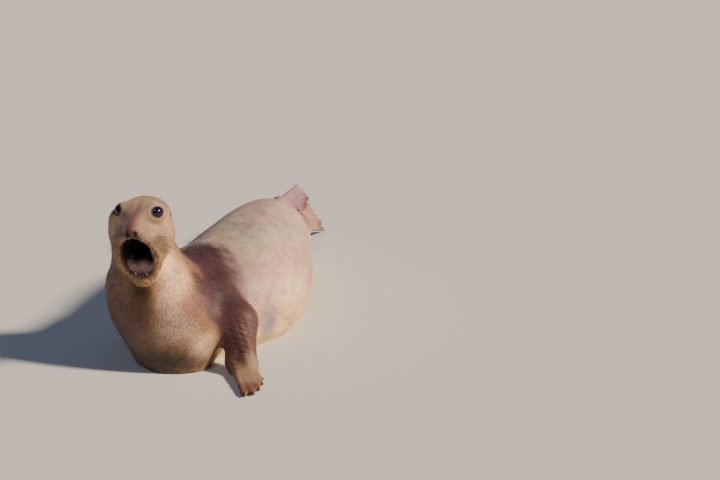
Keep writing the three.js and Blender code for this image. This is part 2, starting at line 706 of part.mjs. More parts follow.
addNode('head', headSolid, '#a9825f', 0.75);
addNode('lower_jaw', jawSolid, '#b58a5c', 0.75);
addNode('tongue', fromGeometry(tongueShape, placeTongue(0)), '#8a5a5c', 0.4);
for (const [name, side] of Object.entries(eyes)) {
  addNode(`eye_${name}`, fromGeometry(eyeball, placeEye(side, 1)), '#120f1c', 0.08);
}

// Neck and trunk
addNode('neck', meshed([-360, -110, 330], [220, 400, 800], cells.neck)
  .intersect(past(['neckChest'])).subtract(past(['headNeck'], 1, -nodeGap / 2)), '#a88a63', 0.8);
const arms = ['left', 'right'];
let chest = meshed([-480, -130, -100], [480, 560, 640], cells.chest)
  .subtract(past(['neckChest'], 1, -nodeGap / 2)).subtract(past(['chestTorso'], 1, -nodeGap / 2));
let torso = meshed([-460, 310, -100], [520, 1300, 680], cells.torso)
  .intersect(past(['chestTorso'])).subtract(past(['torsoHips'], 1, -nodeGap / 2))
  .subtract(past(['neckChest'], 1, -nodeGap / 2));
for (const side of arms) {
  const limbSpace = past([`${side}Elbow`, `${side}Inner`], 1, -nodeGap / 2);
  chest = chest.subtract(limbSpace);
  torso = torso.subtract(limbSpace);
}
addNode('chest', chest, '#a98c6c', 0.8);
addNode('torso', torso, '#b49c8c', 0.8);
addNode('hips', meshed([-400, 1000, -100], [460, 2030, 640], cells.torso)
  .intersect(past(['torsoHips'])).subtract(past(['hipsTail'], 1, -nodeGap / 2)), '#b8a396', 0.8);
addNode('tail', meshed([-240, 1800, -60], [240, 2230, 440], cells.tail)
  .intersect(past(['hipsTail'])).subtract(past(['tailFeet'], 1, -nodeGap / 2)), '#b09a8c', 0.8);

// Flippers
function withClaws(solid, { wrist, tips, palmHeight }) {
  let result = solid;
  tips.forEach((tip, i) => {
    const root = mix(wrist[0], wrist[1], i / 4).slice(0, 3);
    root[2] = palmHeight;
    const direction = unit(sub(tip, root));
    const start = sub(tip, scale(direction, clawSink - handRadii[1]));
    start[2] += foreClawRise;
    result = result.add(cone(start, [direction[0], direction[1], -0.12], clawSize[0], clawSize[1], 6));
  });
  return result.intersect(floorUp);
}
const foreBox = {
  left: [[150, -240, -30], [500, 330, 330]],
  right: [[-500, 240, -30], [-200, 720, 330]],
};
for (const [side, form] of [['left', leftArm], ['right', rightArm]]) {
  const flipper = meshed(...foreBox[side], cells.hand).intersect(past([`${side}Elbow`, `${side}Inner`]));
  addNode(`fore_flipper_${side}`, withClaws(largest(flipper), form), '#7a5347', 0.7);
}
const hindBox = [[-200, 2080, -40], [140, 2700, 420]];
const hind = meshed(...hindBox, cells.foot).intersect(past(['tailFeet']));
addNode('hind_flipper_left', hind.intersect(past(['betweenFeet'])), '#8c6a66', 0.7);
addNode('hind_flipper_right', hind.subtract(past(['betweenFeet'], 1, -nodeGap / 2)), '#8c6a66', 0.7);

export default group;
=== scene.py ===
import math
import bmesh
import bpy
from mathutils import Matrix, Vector
import numpy as np


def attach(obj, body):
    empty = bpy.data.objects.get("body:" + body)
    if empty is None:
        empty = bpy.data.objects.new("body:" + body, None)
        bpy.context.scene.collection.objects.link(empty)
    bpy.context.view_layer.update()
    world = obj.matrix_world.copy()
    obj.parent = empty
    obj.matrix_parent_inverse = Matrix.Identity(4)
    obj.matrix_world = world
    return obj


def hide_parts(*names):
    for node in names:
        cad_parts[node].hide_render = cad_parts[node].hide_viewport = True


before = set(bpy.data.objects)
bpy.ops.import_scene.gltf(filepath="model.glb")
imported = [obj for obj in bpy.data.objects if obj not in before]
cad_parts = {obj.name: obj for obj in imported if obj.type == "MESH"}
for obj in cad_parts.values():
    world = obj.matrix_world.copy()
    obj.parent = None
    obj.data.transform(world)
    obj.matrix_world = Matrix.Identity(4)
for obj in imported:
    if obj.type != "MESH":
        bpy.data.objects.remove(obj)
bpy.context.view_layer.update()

# Life-size female elephant seal. Shapes are worked out in millimetres in the animal's own frame:
# the chest's front edge at the origin, head towards -Y, her left side +X. The CAD frame lies
# frameCentre away.
frameCentre = np.array([21.6, 1188.3, 0.0])
mm = 0.001


def toScene(points):
    return (np.asarray(points, float) - frameCentre) * mm


# small vector tools
def unit(a):
    a = np.asarray(a, float)
    return a / np.linalg.norm(a, axis=-1, keepdims=True)


def length(a):
    return np.sqrt((a * a).sum(-1))


def smoothMin(a, b, k):
    h = np.maximum(k - np.abs(a - b), 0) / k
    return np.minimum(a, b) - h * h * k / 4


def smoothMax(a, b, k):
    return -smoothMin(-a, -b, k)


def smoothStep(x, low, high):
    t = np.clip((x - low) / (high - low), 0, 1)
    return t * t * (3 - 2 * t)


def along(rows, t):
    # a smooth curve through rows whose first value is the place along the curve
    rows = np.asarray(rows, float)
    i = np.clip(np.searchsorted(rows[:, 0], t, side="right") - 1, 0, len(rows) - 2)
    p, q = rows[i], rows[i + 1]
    before, after = rows[np.maximum(i - 1, 0)], rows[np.minimum(i + 2, len(rows) - 1)]
    span = q[:, :1] - p[:, :1]
    s = np.clip((t[:, None] - p[:, :1]) / span, 0, 1)
    slopeP = (q - before) / (q[:, :1] - before[:, :1]) * span
    slopeQ = (after - p) / (after[:, :1] - p[:, :1]) * span
    return (p * (1 + s * s * (2 * s - 3)) + q * s * s * (3 - 2 * s)
            + slopeP * s * (1 - s) ** 2 - slopeQ * s * s * (1 - s))


def ellipsoid(p, centre, radii):
    q = p - np.asarray(centre, float)
    r = np.asarray(radii, float)
    near = length(q / r)
    far = np.maximum(length(q / r ** 2), 1e-9)
    return near * (near - 1) / far


def bone(p, a, b):
    # a round bar from a to b, each a place and a radius
    a, b = np.asarray(a, float), np.asarray(b, float)
    ab = b[:3] - a[:3]
    t = np.clip((p - a[:3]) @ ab / (ab @ ab), 0, 1)
    return length(p - a[:3] - t[:, None] * ab) - (a[3] + (b[3] - a[3]) * t)


def sheet(p, a, b, c, halfThickness):
    # a flat triangle with rounded rims
    a, b, c = (np.asarray(v, float)[:3] for v in (a, b, c))
    ba, cb, ac = b - a, c - b, a - c
    normal = np.cross(ba, ac)
    inside = ((p - a) @ np.cross(ba, normal) >= 0) & ((p - b) @ np.cross(cb, normal) >= 0)
    inside &= (p - c) @ np.cross(ac, normal) >= 0
    edges = []
    for start, way in ((a, ba), (b, cb), (c, ac)):
        q = p - start
        t = np.clip(q @ way / (way @ way), 0, 1)
        edges.append(((q - t[:, None] * way) ** 2).sum(1))
    flat = ((p - a) @ normal) ** 2 / (normal @ normal)
    return np.sqrt(np.where(inside, flat, np.minimum.reduce(edges))) - halfThickness


# the animal's named sizes
trunk = {
    # along Y, centre X, half width, height of the back, height of the widest level
    "sections": [
        [60, -50, 200, 395, 190], [220, -50, 236, 440, 170], [420, -5, 304, 466, 136],
        [640, 55, 342, 480, 114], [860, 80, 322, 512, 136], [1100, 80, 283, 530, 150],
        [1350, 64, 240, 508, 162], [1600, 35, 190, 435, 158], [1820, 4, 134, 341, 144],
        [2010, -14, 80, 257, 136], [2150, -18, 54, 210, 136]],
    "ends": [90, 2110],
    "sink": 70,
    "power": 2.2,
    "tail": ([0, 2040, 170, 66], [-14, 2098, 210, 22]),
}
neck = {
    # height, centre X, centre Y, half width, half depth
    "sections": [
        [-60, 0, 130, 116, 95], [0, -14, 128, 150, 124], [100, -32, 140, 200, 172],
        [160, -48, 150, 238, 198], [220, -66, 158, 258, 212], [300, -86, 165, 261, 220],
        [400, -110, 158, 228, 208], [480, -134, 142, 170, 180], [560, -150, 120, 140, 158],
        [640, -150, 72, 132, 140], [730, -140, 36, 122, 116]],
    "top": 752,
}
head = {
    "origin": [-68, -70, 718],
    "turn": 4,  # degrees towards her left
    "tilt": 4,
    # left, forward, up, half width, half length, half height
    "skull": [
        [0, -26, 18, 110, 128, 86], [32, 44, 42, 58, 62, 44], [56, -20, -60, 74, 100, 92],
        [0, 70, 14, 46, 76, 44], [0, 128, -12, 36, 48, 32], [34, 96, -46, 46, 58, 44],
        [50, 36, -104, 50, 66, 90]],
    "skullBlend": 34,
    "gape": 66,
    "hinge": [-42, -50],
    # left, along the jaw, above its line, half width, half length, half height
    "jaw": [[0, 146, -24, 70, 98, 34], [0, 60, -30, 96, 96, 58]],
    "jawBlend": 34,
}
mouth = {
    "top": [150, -48],  # forward and up of the upper lip's middle
    "bottom": [42, -236],
    "halfWidth": 66,
    "depth": 150,
    "floor": [205, 140, 40],  # where along the jaw it starts to fall, over what length, how deep
    "palate": -44,
    "rise": [60, 90, 30],  # where the roof starts to rise backwards, over what length, how high
    "rim": 14,
    "lips": [84, 122, -16, 21],  # half width, half height, how far out, half thickness
}
eye = {
    "centre": [73, 56, 49],
    "radius": 33,
    "lid": 37,
    "axis": [0.54, 0.81, 0.23],
    "opening": [26, 22.5, 26],
    "out": 40,
}
pits = [
    # the nostrils and the ear pits: where the skin is looked for from, which way, half sizes, facing
    ([17, 260, -30], [0, -1, 0], [5, 12, 10], [0.3, 0.9, 0.1]),
    ([180, -40, 24], [-1, 0, 0], [9, 5, 8], [1, 0, 0]),
]
limbs = {
    "foreLeft": {
        "joints": [[165, 290, 300, 84], [270, 196, 208, 72]],
        "wrist": [[270, 100, 44, 40], [344, 82, 42, 36]],
        "palm": 24, "radii": (19, 11),
        "tips": [[402, -186, 8], [431, -160, 8], [438, -104, 8], [432, -38, 8], [414, 22, 8]]},
    "foreRight": {
        "joints": [[-240, 290, 290, 84], [-306, 304, 185, 70]],
        "wrist": [[-306, 402, 44, 40], [-316, 348, 42, 36]],
        "palm": 24, "radii": (19, 11),
        "tips": [[-322, 660, 8], [-356, 648, 8], [-384, 604, 8], [-395, 544, 8], [-396, 480, 8]]},
    "hindLeft": {
        "joints": [[48, 1900, 160, 80], [34, 2070, 172, 54]],
        "wrist": [[22, 2190, 140, 32], [18, 2176, 214, 32]],
        "palm": None, "radii": (17, 10),
        "tips": [[28, 2632, 22], [22, 2574, 82], [10, 2512, 134], [4, 2450, 182], [0, 2396, 232]]},
    "hindRight": {
        "joints": [[-56, 1900, 170, 80], [-72, 2060, 200, 56]],
        "wrist": [[-88, 2180, 210, 32], [-118, 2160, 292, 32]],
        "palm": None, "radii": (17, 10),
        "tips": [[-72, 2624, 170], [-54, 2566, 230], [-54, 2506, 264], [-58, 2446, 300], [-70, 2390, 342]]},
}
web = {"half": 8.5, "share": 0.98, "notch": 0.06}

# how softly the forms run into each other
blend = {"neck": 70, "tail": 40, "limbs": 80, "head": 60, "wrist": 30, "arm": 24, "digits": 18, "web": 14}
# how far from the head's centre its solid, its skin's detail and its paint reach
headReach = {"solid": 430, "detail": 300, "paint": 340}

# the head's and the jaw's own axes
turn, tilt = math.radians(head["turn"]), math.radians(head["tilt"])
headForward = np.array([math.cos(tilt) * math.sin(turn), -math.cos(tilt) * math.cos(turn), math.sin(tilt)])
headLeft = np.array([math.cos(turn), math.sin(turn), 0])
headUp = np.cross(headForward, headLeft)
headAxes = np.array([headLeft, headForward, headUp])
headOrigin = np.array(head["origin"], float)
gape = math.radians(head["gape"])
hinge = head["hinge"]


def inHead(p):
    return (p - headOrigin) @ headAxes.T


def headWay(q):
    return np.asarray(q, float) @ headAxes


def fromHead(q):
    return headOrigin + headWay(q)


def inJaw(q):
    df, du = q[:, 1] - hinge[0], q[:, 2] - hinge[1]
    ca, sa = math.cos(gape), math.sin(gape)
    return np.stack([q[:, 0], df * ca - du * sa, df * sa + du * ca], 1)


def fromJaw(j):
    j = np.asarray(j, float)
    ca, sa = math.cos(gape), math.sin(gape)
    return np.stack([j[..., 0], hinge[0] + j[..., 1] * ca + j[..., 2] * sa,
                     hinge[1] - j[..., 1] * sa + j[..., 2] * ca], -1)


def mirrored(q):
    # both halves of the head as its left one
    return np.column_stack([np.abs(q[:, 0]), q[:, 1:]])


# the field: distance to the skin, minus inside
def trunkField(p):
    _, centre, halfWidth, back, widest = along(trunk["sections"], p[:, 1]).T
    halfHeight = np.where(p[:, 2] > widest, back - widest, widest + trunk["sink"])
    ring = (np.abs((p[:, 0] - centre) / halfWidth) ** trunk["power"]
            + np.abs((p[:, 2] - widest) / halfHeight) ** trunk["power"]) ** (1 / trunk["power"])
    side = (ring - 1) * np.minimum(halfWidth, halfHeight)
    return smoothMax(smoothMax(side, trunk["ends"][0] - p[:, 1], 80), p[:, 1] - trunk["ends"][1], 90)


def neckField(p):
    _, x, y, halfWidth, halfDepth = along(neck["sections"], p[:, 2]).T
    ring = np.hypot((p[:, 0] - x) / halfWidth, (p[:, 1] - y) / halfDepth)
    return smoothMax((ring - 1) * np.minimum(halfWidth, halfDepth), p[:, 2] - neck["top"], 60)


mouthCentre = (np.array(mouth["top"]) + mouth["bottom"]) / 2
mouthHalfHeight = math.dist(mouth["top"], mouth["bottom"]) / 2
mouthUp = (mouth["top"] - mouthCentre) / mouthHalfHeight


def inMouth(q):
    # left, up along the opening, out of it
    df, du = q[:, 1] - mouthCentre[0], q[:, 2] - mouthCentre[1]
    return np.stack([q[:, 0], df * mouthUp[0] + du * mouthUp[1], df * mouthUp[1] - du * mouthUp[0]], 1)


def mouthField(q):
    side, up, out = inMouth(q).T
    ring = np.sqrt((side / mouth["halfWidth"]) ** 2 + (up / mouthHalfHeight) ** 2
                   + (np.minimum(out, 0) / mouth["depth"]) ** 2) - 1
    _, a, b = inJaw(q).T
    start, way, depth = mouth["floor"]
    floor = 2 - depth * smoothStep(-a, -start, way - start) - b
    start, way, height = mouth["rise"]
    roof = q[:, 2] - mouth["palate"] - height * np.clip((start - q[:, 1]) / way, 0, 1)
    return smoothMax(smoothMax(ring * mouth["halfWidth"], floor, 26), roof, 16)


def lipsField(q):
    side, up, out = inMouth(q).T
    halfWidth, halfHeight, forward, thickness = mouth["lips"]
    ring = np.maximum(np.hypot(side / halfWidth, up / halfHeight), 0.2)
    return np.hypot(np.hypot(side, up) * (1 - 1 / ring), out - forward) - thickness


def headField(q):
    m = mirrored(q)
    solid = np.full(len(q), 1e3)
    for row in head["skull"]:
        solid = smoothMin(solid, ellipsoid(m, row[:3], row[3:]), head["skullBlend"])
    j = inJaw(q)
    for row in head["jaw"]:
        solid = smoothMin(solid, ellipsoid(j, row[:3], row[3:]), head["jawBlend"])
    solid = smoothMin(solid, lipsField(q), 30)
    return smoothMin(solid, length(m - eye["centre"]) - eye["lid"], 26)


def digitRoots(limb):
    roots = []
    for i, tip in enumerate(limb["tips"]):
        first, last = (np.array(w[:3], float) for w in limb["wrist"])
        root = first + (last - first) * i / 4
        if limb["palm"]:
            root[2] = limb["palm"]
        roots.append(root + (np.array(tip, float) - root) * 0.06)
    return roots


def limbField(p, limb):
    arm = bone(p, limb["joints"][0], limb["joints"][1])
    for side in limb["wrist"]:
        arm = smoothMin(arm, bone(p, limb["joints"][1], side), blend["wrist"])
    arm = smoothMin(arm, bone(p, *limb["wrist"]), blend["arm"])
    roots, tips = digitRoots(limb), [np.array(t, float) for t in limb["tips"]]
    ends = [r + (t - r) * web["share"] for r, t in zip(roots, tips)]
    hand = np.full(len(p), 1e3)
    for i in range(5):
        digit = bone(p, [*roots[i], limb["radii"][0]], [*tips[i], limb["radii"][1]])
        hand = smoothMin(hand, digit, blend["digits"])
        if i == 0:
            continue
        between = (ends[i - 1] + ends[i]) / 2
        notch = between + ((roots[i - 1] + roots[i]) / 2 - between) * web["notch"]
        skin = np.minimum.reduce([
            sheet(p, roots[i - 1], ends[i - 1], notch, web["half"]),
            sheet(p, roots[i - 1], notch, roots[i], web["half"]),
            sheet(p, roots[i], notch, ends[i], web["half"])])
        hand = smoothMin(hand, skin, blend["web"])
    return smoothMin(arm, hand, blend["wrist"])


for limb in limbs.values():
    corners = np.array([j[:3] for j in limb["joints"] + limb["wrist"] + limb["tips"]], float)
    limb["low"], limb["high"] = corners.min(0) - 200, corners.max(0) + 200
    limb["outer"] = corners[2:]
    limb["line"] = corners[1], corners[2:4].mean(0), corners[4:].mean(0)  # elbow, wrist, tips


def limbsField(p):
    nearest = np.full(len(p), 1e3)
    for limb in limbs.values():
        near = ((p > limb["low"]) & (p < limb["high"])).all(1)
        if near.any():
            nearest[near] = np.minimum(nearest[near], limbField(p[near], limb))
    return nearest


def bodyField(p):
    # the solids' own shape
    d = smoothMin(trunkField(p), neckField(p), blend["neck"])
    d = smoothMin(d, bone(p, *trunk["tail"]), blend["tail"])
    d = smoothMin(d, limbsField(p), blend["limbs"])
    near = length(p - headOrigin) < headReach["solid"]
    if near.any():
        q = inHead(p[near])
        withHead = smoothMin(d[near], headField(q), blend["head"])
        d[near] = smoothMax(withHead, -mouthField(q), mouth["rim"])
    return d


# how the skin departs from the plain form: a slow unevenness, and folds where it is bent
drift = {"waves": 7, "size": 95, "height": 1.6, "seed": 4}
driftDraw = np.random.default_rng(drift["seed"])
driftWays = unit(driftDraw.normal(size=(drift["waves"], 3))) * 2 * math.pi / drift["size"]
driftWays *= driftDraw.uniform(0.6, 1.9, (drift["waves"], 1))
driftPhases = driftDraw.uniform(0, 2 * math.pi, drift["waves"])
folds = {
    # centre of the fold's patch, direction across the folds, spacing, depth, half sizes of the patch
    "forearm": ([312, 125, 160], [0.25, 0.45, 0.85], 23, 4.6, [90, 100, 100]),
    "wrist": ([318, 60, 62], [0.1, 0.9, -0.4], 17, 3.0, [70, 70, 45]),
    "armpit": ([325, 455, 120], [0.1, -0.75, 0.6], 20, 3.2, [80, 100, 100]),
    "throat": ([-120, -70, 500], [0, 0.25, 1.0], 30, 3.4, [150, 80, 70]),
    "nape": ([-140, 235, 560], [0, 0.5, 1.0], 44, 4.0, [140, 80, 110]),
    "ankle": ([0, 2110, 170], [0, 1, 0.1], 24, 3.0, [120, 60, 120]),
}


def pleat(phase):
    # 0 between creases, 1 at the bottom of one
    return smoothStep(np.abs(phase % 1 - 0.5) * 2, 0.3, 1.0)


def foldDepth(p):
    total = np.zeros(len(p))
    for centre, across, spacing, depth, reach in folds.values():
        q = p - np.array(centre, float)
        inside = ((np.abs(q) / reach) < 1.6).all(1)
        if not inside.any():
            continue
        q = q[inside]
        fade = np.exp(-1.4 * ((q / reach) ** 2).sum(1) ** 1.5)
        bend = 4 * np.sin(p[inside] @ driftWays[0] * 1.8) + 3 * np.sin(p[inside] @ driftWays[3] * 2.6)
        total[inside] += depth * fade * (pleat((q @ unit(across) + bend) / spacing) - 0.25)
    return total


# the height of the flat coat: on bare and on furred skin, and over what distance it grows
coatHeight = {"bare": 1.2, "thick": 3.4, "fromHead": (210, 330), "fromLimbs": (-10, 70)}


def coatDepth(p):
    # how far the skin lies inside the solids
    furred = smoothStep(length(p - headOrigin), *coatHeight["fromHead"])
    limbward = smoothStep(limbsField(p), *coatHeight["fromLimbs"])
    return coatHeight["bare"] + (coatHeight["thick"] - coatHeight["bare"]) * furred * limbward


def hollowAt(p, place, outward, size):
    deep = unit(outward)
    lengthwise = unit(np.cross(headUp, deep))
    across = unit(np.cross(deep, lengthwise))
    q = p - place
    return ellipsoid(np.stack([q @ lengthwise, q @ across, q @ deep], 1), [0, 0, 0], size)


# lids, nostrils and ear pits: centre, way out, half sizes, how round the rim is
hollows = []


def march(field, start, way, steps=70):
    # the first place on the way where the field begins
    p = np.atleast_2d(np.asarray(start, float))
    way = unit(np.atleast_2d(way))
    gone = np.zeros(len(p))
    for _ in range(steps):
        d = field(p + gone[:, None] * way)
        gone += np.where(d < 0.2, 0, np.maximum(d * 0.7, 0.3))
    return p + gone[:, None] * way


for side in (1, -1):
    flip = np.array([side, 1, 1])
    eyeAxis = unit(eye["axis"])
    lidPlace = (np.array(eye["centre"]) + eyeAxis * eye["out"]) * flip
    hollows.append((fromHead(lidPlace), headWay(eyeAxis * flip), eye["opening"], 3))
    for start, inwards, size, outward in pits:
        met = march(bodyField, fromHead(np.array(start) * flip), headWay(np.array(inwards) * flip))[0]
        hollows.append((met, headWay(np.array(outward) * flip), size, 2))
eyePlaces = [fromHead(np.array(eye["centre"]) * [side, 1, 1]) for side in (1, -1)]


def roughly(p, size, seed):
    # a slow random field of 0 to 1, the same everywhere it is asked
    draw = np.random.default_rng(seed)
    ways = unit(draw.normal(size=(9, 3))) * draw.uniform(0.5, 2.2, (9, 1)) * 2 * math.pi / size
    return 0.5 + 0.5 * np.clip(np.sin(p @ ways.T + draw.uniform(0, 6.3, 9)).sum(1) / 3.2, -1, 1)


# fine creases round the lids, beside the mouth and across the nose, and lumps on the lips
faceCreases = {
    "lids": {"far": 8, "width": 4.0, "depth": 1.2},
    "mouth": {"spacing": 17, "depth": 2.6, "from": 12, "to": 56},
    "lips": {"size": 22, "depth": 2.6},
    "nose": {"centre": [0, 112, 44], "spacing": 14, "depth": 2.0, "reach": [44, 44, 34]},
}


def isEye(size):
    return max(size) > 20


def creases(p):
    lids, sides, lips, nose = faceCreases.values()
    q = inHead(p)
    total = np.zeros(len(p))
    for centre, outward, size, _ in hollows:
        if isEye(size):
            edge = hollowAt(p, centre, outward, size)
            total += lids["depth"] * np.exp(-((edge - lids["far"]) / lids["width"]) ** 2)
    near = mouthField(q)
    beside = smoothStep(np.abs(q[:, 0]), 34, 60) * smoothStep(near, sides["from"], sides["from"] + 10)
    beside *= (1 - smoothStep(near, sides["to"] - 24, sides["to"])) * (1 - smoothStep(q[:, 2], -70, -30))
    phase = near / sides["spacing"] + 0.25 * np.sin(q[:, 2] / 17) + 0.2 * np.sin(q[:, 1] / 23)
    total += sides["depth"] * beside * pleat(phase)
    onLips = 1 - smoothStep(np.abs(near - 4), 10, 30)
    total += lips["depth"] * (roughly(p, lips["size"], 41) - 0.4) * onLips
    fade = np.exp(-(((q - nose["centre"]) / nose["reach"]) ** 2).sum(1) ** 1.5)
    phase = (q[:, 2] - 0.5 * q[:, 1] + 3 * np.sin(q[:, 0] / 11)) / nose["spacing"]
    return total + nose["depth"] * fade * pleat(phase)


def skinField(p):
    d = bodyField(p) + coatDepth(p) + foldDepth(p)
    d = d + drift["height"] * np.sin(p @ driftWays.T + driftPhases).mean(1)
    near = length(p - headOrigin) < headReach["detail"]
    if near.any():
        q = p[near]
        e = d[near] + creases(q)
        for place in eyePlaces:
            e = np.maximum(e, eye["radius"] + 0.5 - length(q - place))
        for place, outward, size, rim in hollows:
            e = smoothMax(e, -hollowAt(q, place, outward, size), rim)
        d[near] = e
    return np.maximum(d, 0.6 - p[:, 2])


# one closed mesh with finer cells where the form is finer
grain = {
    "cell": 2.9, "coarsest": 4, "low": [-480, -330, -30], "high": [480, 2720, 860],
    "head": (300, 400),  # reach, and above what height
    "face": (62, 110),  # in front of what, and how far to each side
    "forearm": ([296, 150, 190], 125),
    "limbs": (70, 60),
    "eyes": 56, "hollows": 8,
}


def finenessAt(p):
    # 0 the finest cells, 1 twice, 2 four times as large
    level = np.full(len(p), 2)
    q = inHead(p)
    near = length(q) < grain["head"][0]
    level[near & (p[:, 2] > grain["head"][1])] = 1
    for limb in limbs.values():
        low, high = limb["outer"].min(0) - grain["limbs"][0], limb["outer"].max(0) + grain["limbs"][1]
        level[((p > low) & (p < high)).all(1)] = 1
    level[length(p - grain["forearm"][0]) < grain["forearm"][1]] = 1
    level[near & (q[:, 1] > grain["face"][0]) & (np.abs(q[:, 0]) < grain["face"][1])] = 0
    for place in eyePlaces:
        level[length(p - place) < grain["eyes"]] = 0
    for place, _, size, _ in hollows:
        level[length(p - place) < max(size) + grain["hollows"]] = 0
    return level


def cellKey(ijk):
    ijk = ijk + 4096
    return (ijk[..., 0] << 40) + (ijk[..., 1] << 20) + ijk[..., 2]


def findIn(keys, wanted):
    # index of each wanted key in the sorted keys, or -1
    at = np.clip(np.searchsorted(keys, wanted), 0, len(keys) - 1)
    return np.where(keys[at] == wanted, at, -1)


def cellsOnSkin():
    # the cells that the skin passes through, halved as far as the place asks for
    low, coarsest = np.array(grain["low"], float), grain["coarsest"]
    counts = np.ceil((np.array(grain["high"]) - low) / (grain["cell"] * 2 ** coarsest)).astype(int)
    cells = np.stack(np.meshgrid(*[np.arange(n) for n in counts], indexing="ij"), -1).reshape(-1, 3)
    children = np.array([[a, b, c] for a in (0, 1) for b in (0, 1) for c in (0, 1)])
    leaves = {}
    for level in range(coarsest, -1, -1):
        size = grain["cell"] * 2 ** level
        middle = low + (cells + 0.5) * size
        keep = np.abs(skinField(middle)) < size * (1.5 if level > 2 else 1.3)
        cells, middle = cells[keep], middle[keep]
        if level > 2:
            split = np.ones(len(cells), bool)
        else:
            split = finenessAt(middle) < level
            leaves[level] = cells[~split]
        cells = (cells[split][:, None] * 2 + children[None]).reshape(-1, 3)
    return {level: leaves[level][np.argsort(cellKey(leaves[level]))] for level in (0, 1, 2)}


def edgesBetween(leaves, keys, first):
    # each cell edge that has a cell on all four sides: those cells, and the edge's two ends
    rings, starts, ends = [], [], []
    for level in (0, 1, 2):
        for axis in range(3):
            s, t = (axis + 1) % 3, (axis + 2) % 3
            offsets = np.zeros((4, 3), int)
            offsets[1, s] = offsets[2, s] = offsets[2, t] = offsets[3, t] = 1
            edges = np.unique((leaves[level][:, None] + offsets[None]).reshape(-1, 3), axis=0)
            around = []
            for offset in offsets:
                found = np.full(len(edges), -1)
                for upper in range(level, 3):
                    at = findIn(keys[upper], cellKey((edges - offset) >> (upper - level)))
                    found = np.where((found < 0) & (at >= 0), at + first[upper], found)
                around.append(found)
            around = np.stack(around, 1)
            whole = (around >= 0).all(1)
            step = np.zeros(3, int)
            step[axis] = 1
            rings.append(around[whole])
            starts.append(edges[whole] << level)
            ends.append((edges[whole] + step) << level)
    return map(np.concatenate, (rings, starts, ends))


def closedSkin():
    # a point in each cell, and a face round each edge that the skin crosses
    cell, low = grain["cell"], np.array(grain["low"], float)
    leaves = cellsOnSkin()
    keys = {level: cellKey(leaves[level]) for level in leaves}
    first = dict(zip(leaves, np.cumsum([0, len(leaves[0]), len(leaves[1])])))
    rings, starts, ends = edgesBetween(leaves, keys, first)
    nodes, back = np.unique(np.concatenate([starts, ends]), axis=0, return_inverse=True)
    values = skinField(low + nodes * cell)[back.reshape(-1)]
    va, vb = values[:len(starts)], values[len(starts):]
    crossed = (va < 0) != (vb < 0)
    rings, starts, ends, va, vb = (x[crossed] for x in (rings, starts, ends, va, vb))
    t = (va / (va - vb))[:, None]
    meets = low + (starts + (ends - starts) * t) * cell
    rings = np.where((va > 0)[:, None], rings[:, ::-1], rings)
    used, rings = np.unique(rings, return_inverse=True)
    rings = rings.reshape(-1, 4)
    sums, hits = np.zeros((len(used), 3)), np.zeros(len(used))
    for c in range(4):
        for axis in range(3):
            sums[:, axis] += np.bincount(rings[:, c], meets[:, axis], len(used))
        hits += np.bincount(rings[:, c], minlength=len(used))
    levels = np.zeros(len(used))
    for level in (1, 2):
        levels[used >= first[level]] = level
    faces = [[v for i, v in enumerate(ring) if v != ring[i - 1]] for ring in rings.tolist()]
    points = ontoSkin(sums / hits[:, None], 0.45 * cell * 2 ** levels)
    return points, [face for face in faces if len(face) > 2]


def ontoSkin(start, reach):
    # two steps onto the skin, none further than a cell lets it go
    points = start.copy()
    for _ in range(2):
        points = points - normalStep(points)
        way = points - start
        far = np.maximum(length(way), 1e-9)
        points = start + way * np.minimum(1, reach / far)[:, None]
    return points


def gradient(p, h=0.6):
    g = np.zeros_like(p)
    for axis in range(3):
        step = np.zeros(3)
        step[axis] = h
        g[:, axis] = (skinField(p + step) - skinField(p - step)) / (2 * h)
    return g


def normalStep(p):
    g = gradient(p)
    steep = np.maximum((g * g).sum(1), 0.04)
    return g * (skinField(p) / steep)[:, None]


skinPoints, skinFaces = closedSkin()
print("skin:", len(skinPoints), "vertices,", sum(len(f) - 2 for f in skinFaces), "triangles")


# meshes and materials
def linear(hexColour):
    # an sRGB hex colour as the linear values that shaders take
    parts = [int(hexColour[i:i + 2], 16) / 255 for i in (1, 3, 5)]
    return np.array([c / 12.92 if c <= 0.04045 else ((c + 0.055) / 1.055) ** 2.4 for c in parts])


def addObject(name, data):
    made = bpy.data.objects.new(name, data)
    bpy.context.scene.collection.objects.link(made)
    return made


def makeMesh(name, points, faces):
    mesh = bpy.data.meshes.new(name)
    mesh.from_pydata(toScene(points).tolist(), [], faces if isinstance(faces, list) else faces.tolist())
    mesh.polygons.foreach_set("use_smooth", [True] * len(mesh.polygons))
    mesh.update()
    return addObject(name, mesh)


def addMarkingsAndPaintedLight(piece, colours):
    layer = piece.data.attributes.new("markingsAndPaintedLight", "FLOAT_COLOR", "POINT")
    values = np.concatenate([colours, np.ones((len(colours), 1))], 1)
    layer.data.foreach_set("color", values.astype(np.float32).ravel())


def newMaterial(name):
    material = bpy.data.materials.new(name)
    material.use_nodes = True
    tree = material.node_tree
    return material, tree, tree.nodes["Principled BSDF"]


def plainMaterial(name, hexColour, roughness, coat=0.0):
    material, _, shader = newMaterial(name)
    shader.inputs["Base Color"].default_value = (*linear(hexColour), 1)
    shader.inputs["Roughness"].default_value = roughness
    shader.inputs["Coat Weight"].default_value = coat
    return material


def node(tree, kind, settings=None, **inputs):
    # adds a node, sets its properties, and sets or links its inputs
    made = tree.nodes.new(kind)
    for key, value in (settings or {}).items():
        setattr(made, key, value)
    for key, value in inputs.items():
        byNumber = key[0] == "i" and key[1:].isdigit()
        socket = made.inputs[int(key[1:]) if byNumber else key.replace("_", " ")]
        if isinstance(value, bpy.types.NodeSocket):
            tree.links.new(value, socket)
        else:
            socket.default_value = value
    return made


def markingsAndPaintedLightColour(tree):
    return node(tree, "ShaderNodeVertexColor", {"layer_name": "markingsAndPaintedLight"}).outputs["Color"]


